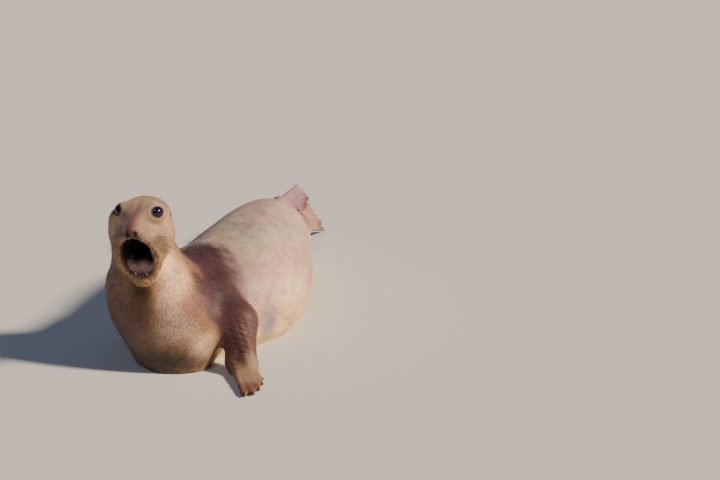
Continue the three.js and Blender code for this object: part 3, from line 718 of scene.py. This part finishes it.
# Short, flat summer coat over thick skin: matt, speckled by the single hairs, with a dull sheen where light
# grazes it. The tufts are a little glossier than the skin between them.
furLook = {
    "hairWidth": 1.6, "hairDetail": 3.0, "alongHairs": (1, 0.3, 0.55), "mottle": 60, "mottleDetail": 5.0,
    "from": (0.1, 0.42), "to": (0.7, 1.26), "bumpHeight": 0.0011, "bumpStrength": 0.8,
    "skin": 0.62, "tufts": 0.55, "ior": 1.45, "sheen": 0.12, "sheenRoughness": 0.4,
}


def furMaterial(name, roughness, bump):
    material, tree, shader = newMaterial(name)
    place = node(tree, "ShaderNodeTexCoord").outputs["Object"]
    hairs = node(tree, "ShaderNodeMapping", Vector=place, Scale=furLook["alongHairs"]).outputs["Vector"]
    fine = node(tree, "ShaderNodeTexNoise", Vector=hairs, Scale=1000 / furLook["hairWidth"] / 3,
                Detail=furLook["hairDetail"], Roughness=0.6).outputs["Fac"]
    mottle = node(tree, "ShaderNodeTexNoise", Vector=place, Scale=1000 / furLook["mottle"],
                  Detail=furLook["mottleDetail"], Roughness=0.6).outputs["Fac"]
    both = node(tree, "ShaderNodeMath", {"operation": "MULTIPLY"}, i0=fine, i1=mottle).outputs[0]
    (fromLow, fromHigh), (toLow, toHigh) = furLook["from"], furLook["to"]
    light = node(tree, "ShaderNodeMapRange", Value=both, From_Min=fromLow, From_Max=fromHigh,
                 To_Min=toLow, To_Max=toHigh).outputs["Result"]
    tinted = node(tree, "ShaderNodeVectorMath", {"operation": "SCALE"}, i0=markingsAndPaintedLightColour(tree), Scale=light)
    tree.links.new(tinted.outputs["Vector"], shader.inputs["Base Color"])
    relief = node(tree, "ShaderNodeBump", Height=fine, Distance=bump, Strength=furLook["bumpStrength"])
    tree.links.new(relief.outputs["Normal"], shader.inputs["Normal"])
    shader.inputs["Roughness"].default_value = roughness
    shader.inputs["IOR"].default_value = furLook["ior"]
    shader.inputs["Sheen Weight"].default_value = furLook["sheen"]
    shader.inputs["Sheen Roughness"].default_value = furLook["sheenRoughness"]
    return material


# Markings and painted light, laid one over the other: each a colour, a place, how far it reaches and how
# strongly it covers
coatColours = {"back": "#b8a89a", "flank": "#c8968a", "belly": "#f0cc88", "neck": "#a07856",
               "face": "#92765c"}
bodyPatches = [
    ("#aa9a7c", [190, 560, 460], [150, 170, 130], 0.7),
    ("#c4a092", [220, 1250, 400], [260, 380, 200], 0.7),
    ("#d09a8c", [330, 760, 340], [120, 220, 90], 0.7),
    ("#f0cfa4", [400, 640, 225], [90, 230, 90], 0.75),
    ("#a88c7e", [-10, -30, 250], [150, 110, 130], 0.8),
    # painted shade: the next two darken her right side of chest and neck, away from the key light, in a cool
    # grey
    ("#4c3e3e", [-180, -20, 230], [125, 130, 190], 0.8),
    ("#5a4a50", [-235, 120, 400], [90, 160, 210], 0.65),
    # painted highlight: pale peach on the left side of the neck, where the key light falls
    ("#ecba8a", [45, 30, 440], [80, 90, 120], 0.85),
    ("#9a6636", [188, 93, 238], [60, 90, 90], 0.85),
    ("#8a4e34", [112, 43, 335], [64, 90, 74], 0.75),
    # the damp, dirty underside of the chest, darkened further as painted contact shade along the floor
    ("#26241f", [-10, -10, 62], [240, 170, 98], 0.9),
    ("#7d778c", [330, 470, 110], [56, 62, 84], 0.85),
    ("#7e5a58", [190, 340, 390], [150, 190, 110], 0.65),
    ("#7c5240", [-20, 2040, 200], [140, 130, 110], 0.75),
]
lastPatches = [  # over the band and the face
    # the next two: the dark brown throat below the chin, deepened nearest the chin as painted shadow of the
    # jaw
    ("#6a4526", [-84, -50, 300], [84, 100, 110], 0.8),
    ("#2f190a", [-98, -60, 405], [62, 100, 74], 0.95),
    ("#b8823f", [-30, -60, 395], [30, 50, 40], 0.5),
    ("#3e2428", [150, 200, 375], [84, 110, 70], 0.65),
    ("#3a2022", [215, 165, 310], [66, 80, 76], 0.65),
    ("#e0bc94", [153, 50, 133], [56, 80, 56], 0.7),
    # painted highlight: pale peach on the left of the neck below the jaw, where the key light falls
    ("#f4cc9c", [-12, 33, 509], [64, 80, 80], 0.75),
    ("#dcbc9c", [8, -10, 365], [44, 80, 66], 0.7),
]
# the dark band from the withers over the shoulder and down the left fore limb, and the same on her right
band = {"colour": "#42242a", "reach": 130, "fade": 165, "strength": 0.93, "places": [
    [-20, 390, 470], [98, 302, 429], [158, 200, 370], [215, 160, 310], [285, 150, 245], [300, 110, 150]]}
# uneven stains over the whole coat: colour, size, seed, strength
stains = [("#c48a4c", 190, 31, 0.3), ("#6e525c", 150, 32, 0.3), ("#8a6a44", 70, 33, 0.16)]
facePatches = [  # left (the same on her right), forward, up
    ("#ab8f70", [20, 30, 96], [60, 60, 40], 0.7),
    ("#9c7668", [0, 118, 48], [44, 50, 44], 0.8),
    ("#b8906e", [115, 0, -10], [50, 60, 50], 0.6),
    ("#c09058", [92, 0, -150], [56, 90, 66], 0.65),
    ("#c49258", [74, 20, -215], [50, 70, 60], 0.6),
    ("#7e5c42", [96, 80, -66], [42, 50, 36], 0.65),
    ("#dab070", [0, 90, -268], [62, 56, 24], 0.85),
    ("#75605a", [0, 96, 66], [40, 42, 32], 0.6),
    ("#8a5848", [0, 150, 12], [30, 30, 28], 0.7),
    # painted shade under the nose tip, over the upper lip
    ("#3c261e", [0, 165, -34], [36, 40, 17], 0.85),
    # painted shade in the hollow between eye and nose bridge, on both sides
    ("#6a4c3c", [50, 92, 22], [22, 44, 30], 0.35),
    ("#b8a184", [78, 52, 92], [34, 34, 16], 0.6),
    ("#b98550", [84, 50, 4], [34, 30, 16], 0.6),
]
paleMuzzleHighlight = ("#dabcb4", [-27, 130, 8], [19, 44, 36], 0.7)  # painted highlight: a pale patch beside the stripe, on her right side only
stripe = {"colour": "#6a4640", "from": [2, 134, 52], "to": [0, 176, -8], "reach": 24, "strength": 0.8}
eyeRing = {"pale": "#b49a78", "dark": "#1e1214", "edge": 5.0, "reach": 30, "strength": 0.35}
# colours inside the mouth; "deep" is the painted shade that blackens its back and roof
inside = {"deep": "#060204", "gum": "#cfa699", "cheek": "#4a1a14", "rim": "#3e1f12", "lip": "#5a3a2a",
          "tongue": "#b9968f", "dark": (2, 34), "pale": (120, 162)}
armColour = "#5e3a36"
# colour, strength, and where on the way from wrist (0) to tips (1) it starts and is full
handColours = [("#9a7c60", 0.85, 0.0, 0.22), ("#64382a", 0.8, 0.7, 1.0)]
limbColours = {
    "foreLeft": handColours, "foreRight": handColours,
    "hindLeft": [("#9c7666", 0.85, -0.25, 0.2), ("#7c5446", 0.85, 0.72, 1.1)],
    "hindRight": [("#946c7a", 0.85, -0.25, 0.2), ("#5e222c", 0.85, 0.72, 1.1)],
}
whiskerBed = {
    "rows": 6, "each": 7, "spot": 3.2, "colour": "#33201a", "outward": [0.8, 0.62, -0.1],
    "from": [30, 138, -40], "along": [9.5, -11.5, -1.5], "down": [5.5, -8.5, -14.0], "everyOther": [3, -3, 0],
}


def paint(colours, hexColour, weight):
    return colours + (linear(hexColour) - colours) * np.clip(weight, 0, 1)[:, None]


def paintPatches(colours, p, patches):
    for hexColour, centre, reach, strength in patches:
        q = (p - np.array(centre, float)) / np.array(reach, float)
        colours = paint(colours, hexColour, strength * np.exp(-(q * q).sum(1) ** 1.3))
    return colours


def toLine(p, places):
    # distance to a broken line
    places = np.array(places, float)
    nearest = np.full(len(p), 1e6)
    for a, b in zip(places[:-1], places[1:]):
        t = np.clip((p - a) @ (b - a) / ((b - a) @ (b - a)), 0, 1)
        nearest = np.minimum(nearest, length(p - a - t[:, None] * (b - a)))
    return nearest


def whiskerRoots():
    # rows of whiskers on the upper lip's side, found on the skin
    names = ("from", "along", "down", "everyOther")
    first, step, down, shift = (np.array(whiskerBed[name], float) for name in names)
    way = unit(whiskerBed["outward"])
    starts, inwards = [], []
    for side in (1, -1):
        for row in range(whiskerBed["rows"]):
            for i in range(whiskerBed["each"]):
                q = first + step * i + down * row + shift * (row % 2)
                starts.append(fromHead((q + way * 90) * [side, 1, 1]))
                inwards.append(headWay(-way * [side, 1, 1]))
    return march(skinField, np.array(starts), np.array(inwards))


whiskerPlaces = whiskerRoots()


def markingsAndPaintedLight(p):
    colours = np.tile(linear(coatColours["back"]), (len(p), 1))
    height = p[:, 2] + (roughly(p, 210, 11) - 0.5) * 90
    colours = paint(colours, coatColours["flank"], 0.75 * (1 - smoothStep(height, 250, 440)))
    colours = paint(colours, coatColours["belly"], 0.9 * (1 - smoothStep(height, 60, 250)))
    front = 1 - smoothStep(p[:, 1] - 0.35 * (p[:, 2] - 300), 150, 330)
    colours = paint(colours, coatColours["neck"], front)
    for hexColour, size, seed, strength in stains:
        colours = paint(colours, hexColour, strength * smoothStep(roughly(p, size, seed), 0.3, 1))
    colours = paintPatches(colours, p, bodyPatches)
    middle = np.array([trunk["sections"][2][1], 0, 0])
    for side in (1, -1):
        far = toLine((p - middle) * [side, 1, 1] + middle, band["places"])
        far = far + (roughly(p, 120, 12) - 0.5) * 60
        cover = 1 - smoothStep(far, band["reach"] - band["fade"] / 2, band["reach"] + band["fade"] / 2)
        colours = paint(colours, band["colour"], band["strength"] * cover)

    q = inHead(p)
    onHead = 1 - smoothStep(length(q * [1, 0.9, 0.85] - [0, 30, -50]), 190, 260)
    colours = paint(colours, coatColours["face"], onHead * 0.9)
    colours = paintPatches(colours, mirrored(q), facePatches)
    colours = paintPatches(colours, p, lastPatches)
    # painted highlight beside the stripe
    colours = paintPatches(colours, q, [paleMuzzleHighlight])
    cover = 1 - smoothStep(toLine(q, [stripe["from"], stripe["to"]]), 2, stripe["reach"] * 2)
    colours = paint(colours, stripe["colour"], stripe["strength"] * cover)
    return paintFlippers(paintFace(colours, p, q), p)


def paintFace(colours, p, q):
    near = length(q) < headReach["paint"]
    if not near.any():
        return colours
    c, at, qn = colours[near], p[near], q[near]
    # pale rings round the eyes, dark lids, nostrils and ear pits
    for centre, outward, size, _ in hollows:
        edge = hollowAt(at, centre, outward, size)
        if isEye(size):
            pale = 1 - smoothStep(edge, 5, eyeRing["reach"])
            c = paint(c, eyeRing["pale"], eyeRing["strength"] * pale)
        dark = 1 - smoothStep(edge, eyeRing["edge"] * 0.4, eyeRing["edge"] * 1.8)
        c = paint(c, eyeRing["dark"], 0.95 * dark)
    # painted shade darkens the creases
    c = paint(c, inside["rim"], 0.4 * smoothStep(creases(at), 0.8, 3))
    lipward = 1 - smoothStep(np.abs(mouthField(qn) - 14), 6, 26)
    c = paint(c, inside["lip"], 0.6 * lipward * smoothStep(roughly(at, 20, 42), 0.35, 0.8))
    # whisker beds: a dark spot at each root, drawn out backwards
    for root in whiskerPlaces:
        close = (np.abs(at - root) < 16).all(1)
        if close.any():
            away = (at[close] - root) @ headAxes.T
            far = np.sqrt(away[:, 0] ** 2 * 0.6 + away[:, 2] ** 2 * 1.5 + (away[:, 1] + 2) ** 2 * 0.25)
            spot = 0.75 * (1 - smoothStep(far, 1, whiskerBed["spot"]))
            c[close] = paint(c[close], whiskerBed["colour"], spot)
    # the inside of the mouth: dark red flesh, going black further in and under the roof, partly dark pigment
    # and partly painted shade
    _, up, out = inMouth(qn).T
    _, a, b = inJaw(qn).T
    within = (1 - smoothStep(mouthField(qn), 4, 12)) * (1 - smoothStep(out, -22, -6))
    rim = (1 - smoothStep(mouthField(qn), 6, 20)) * (1 - smoothStep(out, -6, 14))
    c = paint(c, inside["rim"], 0.75 * rim)
    c = paint(c, inside["cheek"], within)
    deep = np.maximum(smoothStep(-out, *inside["dark"]), smoothStep(up, -30, 20))
    c = paint(c, inside["deep"], within * deep)
    colours[near] = paint(c, inside["gum"], within * gumShare(a) * (1 - smoothStep(np.abs(b), 20, 44)))
    return colours


def gumShare(a):
    # the front of the mouth's floor is pale, further back it goes dark as painted shade
    return smoothStep(a, *inside["pale"])


def paintFlippers(colours, p):
    for name, limb in limbs.items():
        elbow, wrist, tips = limb["line"]
        onLimb = 1 - smoothStep(np.maximum(limbField(p, limb), 0), 4, 40)
        if limb["palm"]:
            down = 1 - smoothStep((p - elbow) @ unit(elbow - wrist), -60, 60)
            colours = paint(colours, armColour, 0.9 * onLimb * down)
        share = (p - wrist) @ unit(tips - wrist) / length(tips - wrist)
        for hexColour, strength, start, end in limbColours[name]:
            colours = paint(colours, hexColour, strength * onLimb * smoothStep(share, start, end))
    return colours


skin = makeMesh("seal_skin", skinPoints, skinFaces)
addMarkingsAndPaintedLight(skin, markingsAndPaintedLight(skinPoints))
skin.data.materials.append(furMaterial("short_seal_fur", furLook["skin"], furLook["bumpHeight"]))
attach(skin, "root")
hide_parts("head", "lower_jaw", "neck", "chest", "torso", "hips", "tail", "fore_flipper_left",
            "fore_flipper_right", "hind_flipper_left", "hind_flipper_right")
print("markings laid on the skin")


def roundPiece(name, centre, axes, radii, rings=40, sides=64):
    # a closed ball, pole along the third axis
    a = np.linspace(0, math.pi, rings + 1)[1:-1]
    b = np.linspace(0, 2 * math.pi, sides, endpoint=False)
    ball = np.stack([np.outer(np.sin(a), np.cos(b)), np.outer(np.sin(a), np.sin(b)),
                     np.outer(np.cos(a), np.ones(sides))], -1).reshape(-1, 3)
    ball = np.concatenate([ball, [[0, 0, 1], [0, 0, -1]]])
    top, bottom, last = len(ball) - 2, len(ball) - 1, (rings - 2) * sides
    faces = []
    for j in range(sides):
        k = (j + 1) % sides
        for i in range(0, last, sides):
            faces.append([i + j, i + sides + j, i + sides + k, i + k])
        faces += [[top, j, k], [bottom, last + k, last + j]]
    return makeMesh(name, centre + (ball * radii) @ np.array(axes), faces), ball


# Eyes: a wet, nearly black violet ball, so smooth that the light shows in it as a small hard glint
eyeLook = {"colour": "#160b2e", "roughness": 0.06}
eyeMaterial = plainMaterial("wet_dark_eye", eyeLook["colour"], eyeLook["roughness"])
for name, side, place in zip(("left", "right"), (1, -1), eyePlaces):
    axis = headWay(unit(eye["axis"]) * [side, 1, 1])
    first = unit(np.cross(headUp, axis))
    ways = [first, np.cross(axis, first), axis]
    eyeball, _ = roundPiece("eyeball_" + name, place, ways, [eye["radius"]] * 3)
    eyeball.data.materials.append(eyeMaterial)
    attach(eyeball, "root")
    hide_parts("eye_" + name)

# Tongue: damp flesh, dull pink at the front where the light reaches it, and painted dark towards the back as
# painted shade
tongue = {"size": [34, 66, 19], "place": [0, 116, -18], "roughness": 0.5}
jawWays = [headWay(fromJaw(way) - fromJaw([0, 0, 0])) for way in np.eye(3)]
tonguePiece, ball = roundPiece("tongue_flesh", fromHead(fromJaw(tongue["place"])), jawWays, tongue["size"])
pale = gumShare(ball[:, 1] * tongue["size"][1] + tongue["place"][1])[:, None]
addMarkingsAndPaintedLight(tonguePiece, linear(inside["deep"]) * (1 - pale) + linear(inside["tongue"]) * pale)
tongueMaterial, tongueTree, tongueShader = newMaterial("wet_tongue")
tongueTree.links.new(markingsAndPaintedLightColour(tongueTree), tongueShader.inputs["Base Color"])
tongueShader.inputs["Roughness"].default_value = tongue["roughness"]
tonguePiece.data.materials.append(tongueMaterial)
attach(tonguePiece, "root")
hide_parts("tongue")
print("eyes and tongue made")


def spikes(name, roots, ways, bend, lengths, radii, sides=8, rings=6, flat=1.0):
    # many small tapered spikes in one mesh, each bent sideways by a share of its length
    n, bends = len(roots), np.tile(np.array(bend, float), (len(roots), 1))
    t = np.linspace(0, 1, rings + 1)[:-1]
    across = unit(np.cross(ways, bends + 1e-6))
    other = unit(np.cross(ways, across))
    turns = np.linspace(0, 2 * math.pi, sides, endpoint=False)
    lines = roots[:, None] + (ways[:, None] * t[None, :, None]
                              + bends[:, None] * (t ** 2)[None, :, None]) * lengths[:, None, None]
    width = radii[:, None] * (1 - t[None] ** 1.4)
    ring = (across[:, None, None] * np.cos(turns)[None, None, :, None] * flat
            + other[:, None, None] * np.sin(turns)[None, None, :, None])
    points = lines[:, :, None] + ring * width[:, :, None, None]
    tips = roots + (ways + bends) * lengths[:, None]
    each = rings * sides + 2
    points = np.concatenate([points.reshape(n, -1, 3), tips[:, None], roots[:, None]], 1)
    faces = []
    for j in range(sides):
        k = (j + 1) % sides
        for i in range(0, (rings - 1) * sides, sides):
            faces += [[i + j, i + k, i + sides + k], [i + j, i + sides + k, i + sides + j]]
        faces += [[(rings - 1) * sides + j, (rings - 1) * sides + k, each - 2], [k, j, each - 1]]
    faces = (np.array(faces)[None] + np.arange(n)[:, None, None] * each).reshape(-1, 3)
    piece = makeMesh(name, points.reshape(-1, 3), faces)
    turnOutwards(piece)
    return piece


def turnOutwards(piece):
    # faces point out whichever way the rings ran
    work = bmesh.new()
    work.from_mesh(piece.data)
    bmesh.ops.recalc_face_normals(work, faces=work.faces)
    work.to_mesh(piece.data)
    work.free()


# Teeth: old ivory, glossy with spit, so their tips stand out as small light dots.
# Each row: how far along the jaw, half the spacing, height of the crown, radius.
teeth = {
    "lower": [(192, 25, 20, 6), (200, 9, 7, 3.2), (172, 33, 5, 3.6), (153, 42, 3, 3.4), (134, 48, 3, 3.4),
              (116, 52, 3, 3.4)],
    "upper": [(128, 24, 13, 6), (144, 9, 7, 3.2), (112, 32, 6, 3.6), (95, 37, 6, 3.6), (78, 41, 6, 3.6),
              (61, 44, 5, 3.6), (46, 46, 5, 3.4)],
    "sink": 8, "bend": 0.2, "thicker": 1.05, "colour": "#cfc0a0", "roughness": 0.3, "wet": 0.3,
}


def growTeeth():
    rows = []
    for side in (1, -1):
        for place, spacing, crown, radius in teeth["lower"]:
            rows.append((fromHead(fromJaw([side * spacing, place, 60])), jawWays[2], crown, radius))
        for place, spacing, crown, radius in teeth["upper"]:
            rows.append((fromHead([side * spacing, place, -110]), -headUp, crown, radius))
    starts, ways, crowns, radii = (np.array(column) for column in zip(*rows))
    roots = march(skinField, starts, -ways) - ways * teeth["sink"]
    return spikes("teeth", roots, ways, -headForward * teeth["bend"], crowns + teeth["sink"],
                  radii * teeth["thicker"], sides=12, rings=8)


# Claws on the five digits of each fore flipper: dark horn with a worn, dull shine
claws = {"length": 36, "radius": 6.2, "back": 6, "rise": 7, "bend": [0, 0, -0.12], "flat": 0.8,
         "colour": "#2e2320", "roughness": 0.35}


def growClaws():
    rows = []
    for name in ("foreLeft", "foreRight"):
        for root, tip in zip(digitRoots(limbs[name]), limbs[name]["tips"]):
            way = unit((np.array(tip, float) - root) * [1, 1, 0.1])
            rows.append((np.array(tip, float) - way * claws["back"] + [0, 0, claws["rise"]], way))
    roots, ways = (np.array(column) for column in zip(*rows))
    return spikes("fore_claws", roots, ways, claws["bend"], np.full(len(ways), claws["length"]),
                  np.full(len(ways), claws["radius"]), sides=10, rings=8, flat=claws["flat"])


# Whiskers: stiff brown bristles that lie back along the cheek and draw fine dark lines on it
whisker = {"length": (46, 84), "radius": 0.75, "lift": 0.42, "seed": 21, "sag": 0.22, "astray": 0.07,
           "colour": "#4a3a30", "roughness": 0.4}


def growWhiskers():
    draw = np.random.default_rng(whisker["seed"])
    outward = unit(gradient(whiskerPlaces))
    astray = draw.normal(0, whisker["astray"], outward.shape)
    ways = unit(unit(0.5 * outward - headForward - 0.35 * headUp + astray) + outward * whisker["lift"])
    return spikes("whiskers", whiskerPlaces - outward, ways, -headUp * whisker["sag"],
                  draw.uniform(*whisker["length"], len(ways)), np.full(len(ways), whisker["radius"]),
                  sides=5, rings=7)


for piece, material in (
        (growTeeth(), plainMaterial("ivory_enamel", teeth["colour"], teeth["roughness"], teeth["wet"])),
        (growClaws(), plainMaterial("horn_claw", claws["colour"], claws["roughness"])),
        (growWhiskers(), plainMaterial("stiff_whisker", whisker["colour"], whisker["roughness"]))):
    piece.data.materials.append(material)
    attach(piece, "root")
print("teeth, claws and whiskers made")

# Coat: short flat tufts that follow the lie of the fur, smallest on face and feet. They break the
# outline and give the nap that the eye takes for short hair.
coat = {
    "tufts": 90000, "inEachPiece": 60000, "seed": 5, "width": 2.6, "length": (11.5, 4.2), "vary": (0.7, 1.15),
    "astray": 0.14, "lift": 0.2, "sink": 0.4, "above": 0.4, "shade": (0.72, 1.22), "patch": 0.003,
    "denser": 1.6, "offMouth": 14, "offFloor": 3, "offLids": 3,
}


def lieOf(p):
    # the way the hairs point: from the nose back, down the neck, along the trunk, out along the limbs
    way = np.tile([0.0, 1.0, -0.12], (len(p), 1))
    neckward = (1 - smoothStep(p[:, 1], 120, 420)) * smoothStep(p[:, 2], 120, 420)
    way += neckward[:, None] * np.array([0.1, -0.35, -1.3])
    headward = 1 - smoothStep(length(p - headOrigin), 170, 300)
    way = way * (1 - headward[:, None]) - headward[:, None] * headForward
    jaw = inJaw(inHead(p))
    jawward = headward * (1 - smoothStep(jaw[:, 2], -20, 30))
    jawBack = headWay(fromJaw([0, -1, 0]) - fromJaw([0, 0, 0]))
    way = way * (1 - jawward[:, None]) + jawward[:, None] * jawBack
    for limb in limbs.values():
        elbow, wrist, tips = limb["line"]
        on = 1 - smoothStep(limbField(p, limb), 5, 60)
        past = smoothStep((p - wrist) @ unit(tips - wrist), -50, 50)[:, None]
        limbWay = unit(wrist - elbow) * (1 - past) + unit(tips - wrist) * past
        way = way * (1 - on[:, None]) + on[:, None] * limbWay
    return unit(way + 1e-6)


def bakePlaces(p):
    # where each place lies on an unwrap of the body: head, trunk with neck, and the four limbs side by side
    q = inHead(p)
    middle = along(trunk["sections"], p[:, 1])[:, 1]
    u = 0.03 + 0.9 * (np.arctan2(p[:, 0] - middle, p[:, 2] - 150) / (2 * math.pi) + 0.5)
    v = 0.03 + 0.5 * np.clip((p[:, 1] + 250) / 2650, 0, 1)
    places = np.stack([u, v], 1)
    onHead = length(q) < headReach["detail"]
    turned = np.arctan2(q[:, 0], q[:, 2] + 40) / (2 * math.pi) + 0.5
    far = np.arccos(np.clip(unit(q)[:, 1], -1, 1)) / math.pi
    places[onHead] = np.stack([0.03 + 0.44 * turned, 0.57 + 0.4 * far], 1)[onHead]
    for i, limb in enumerate(limbs.values()):
        _, wrist, tips = limb["line"]
        way = unit(tips - wrist)
        on = limbField(p, limb) < 6
        r = p - wrist
        side = unit(np.cross(way, [0, 0, 1.0]))
        around = np.arctan2(r @ side, r @ np.cross(side, way)) / (2 * math.pi) + 0.5
        far = 0.6 + 0.35 * np.clip((r @ way + 250) / 900, 0, 1)
        places[on] = np.stack([0.5 + 0.115 * (i + around), far], 1)[on]
    return places


def scatter(mesh, count, draw):
    # roots spread over the skin, closer together where the hairs are shorter
    mesh.calc_loop_triangles()
    corners = np.empty(len(mesh.loop_triangles) * 3, np.int32)
    mesh.loop_triangles.foreach_get("vertices", corners)
    corners = corners.reshape(-1, 3)
    a, b, c = (skinPoints[corners[:, i]] for i in range(3))
    middle = (a + b + c) / 3
    normal = np.cross(b - a, c - a)
    area = length(normal) / 2
    q = inHead(middle)
    bare = (mouthField(q) < coat["offMouth"]) | (middle[:, 2] < coat["offFloor"])
    for place in eyePlaces:
        bare |= length(middle - place) < eye["lid"] + coat["offLids"]
    short = shortness(middle)
    weight = area * (1 + coat["denser"] * short) * ~bare
    picked = np.searchsorted(np.cumsum(weight), draw.uniform(0, weight.sum(), count))
    s, t = np.sqrt(draw.uniform(size=count))[:, None], draw.uniform(size=count)[:, None]
    roots = a[picked] * (1 - s) + b[picked] * s * (1 - t) + c[picked] * s * t
    return roots, unit(normal[picked]), short[picked]


def shortness(p):
    # 0 on the trunk, 1 on the face and the feet
    headward = 1 - smoothStep(length(p - headOrigin), 180, 300)
    return np.clip(headward + 1 - smoothStep(limbsField(p), -6, 60), 0, 1)


def tuftsOf(roots, outward, short, draw):
    # the five corners of each tuft: two at the root, two halfway, one at the tip
    ways = lieOf(roots) + draw.normal(0, coat["astray"], roots.shape)
    ways = unit(ways - (ways * outward).sum(1)[:, None] * outward)
    side = np.cross(outward, ways)
    long = coat["length"][0] + (coat["length"][1] - coat["length"][0]) * short
    long = (long * draw.uniform(*coat["vary"], len(long)))[:, None]
    wide = side * coat["width"] * (1 - 0.4 * short)[:, None]
    up = outward * coat["lift"] * long
    base, half = roots - outward * coat["sink"], roots + ways * long * 0.5 + up * 0.75
    corners = np.stack([base - wide / 2, base + wide / 2, half - wide * 0.42, half + wide * 0.42,
                        roots + ways * long + up], 1)
    corners[:, :, 2] = np.maximum(corners[:, :, 2], coat["above"])
    return corners


def growCoat():
    draw = np.random.default_rng(coat["seed"])
    roots, outward, short = scatter(skin.data, coat["tufts"], draw)
    corners = tuftsOf(roots, outward, short, draw)
    colours = markingsAndPaintedLight(roots) * draw.uniform(*coat["shade"], len(roots))[:, None]
    places = bakePlaces(roots)
    spread = np.array([[0, 0], [1, 0], [0.1, 0.5], [0.9, 0.5], [0.5, 1]]) * coat["patch"]
    material = furMaterial("guard_hairs", furLook["tufts"], 0.0)
    for number, first in enumerate(range(0, len(roots), coat["inEachPiece"])):
        some = slice(first, first + coat["inEachPiece"])
        n = len(roots[some])
        faces = np.array([[0, 1, 2], [2, 1, 3], [2, 3, 4]])[None] + np.arange(n)[:, None, None] * 5
        tufts = makeMesh("coat_tufts_%d" % (number + 1), corners[some].reshape(-1, 3), faces.reshape(-1, 3))
        addMarkingsAndPaintedLight(tufts, np.repeat(colours[some], 5, axis=0))
        unwrap = (places[some][:, None] + spread[None]).reshape(-1, 2)[faces.ravel()]
        tufts.data.uv_layers.new(name="OFBake").data.foreach_set("uv", unwrap.astype(np.float32).ravel())
        tufts.data.materials.append(material)
        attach(tufts, "root")
    print("coat:", len(roots), "tufts")


growCoat()

# floor, light and camera
studio = {
    # pale and without any shine, so that only the shadow is seen on it
    "floor": "#d9d6d0", "floorRoughness": 0.9,
    "sky": "#a9c2ee", "skyStrength": 0.16,
    # where each light comes from, strength, softness in degrees, colour
    "key": ([0.87, -0.08, 0.5], 7.0, 7, "#ffecd6"),
    "front": ([-0.03, -0.71, 0.7], 0.35, 12, "#dfe6ff"),
}
floorMesh = bpy.data.meshes.new("floor")
floorMesh.from_pydata([(-60, -30, 0), (60, -30, 0), (60, 90, 0), (-60, 90, 0)], [], [(0, 1, 2, 3)])
floorMesh.materials.append(plainMaterial("pale_studio_floor", studio["floor"], studio["floorRoughness"]))
floor = addObject("floor", floorMesh)
for name in ("key", "front"):
    fromWay, strength, softness, colour = studio[name]
    lamp = bpy.data.lights.new(name, "SUN")
    lamp.energy, lamp.angle, lamp.color = strength, math.radians(softness), linear(colour)
    addObject(name, lamp).rotation_euler = Vector(-unit(fromWay)).to_track_quat("-Z", "Y").to_euler()
world = bpy.data.worlds.new("studio")
world.use_nodes = True
background = world.node_tree.nodes["Background"]
background.inputs["Color"].default_value = (*linear(studio["sky"]), 1)
background.inputs["Strength"].default_value = studio["skyStrength"]
bpy.context.scene.world = world

view = {"lens": 70, "sensor": 36, "pitch": 75.4, "azimuth": 12.9, "place": [2135, -5537, 2150]}
cameraData = bpy.data.cameras.new("camera")
cameraData.lens = view["lens"]
cameraData.sensor_width = view["sensor"]
camera = addObject("camera", cameraData)
camera.location = toScene(view["place"])
camera.rotation_euler = (math.radians(view["pitch"]), 0, math.radians(view["azimuth"]))
bpy.context.scene.camera = camera
print("floor, light and camera set")
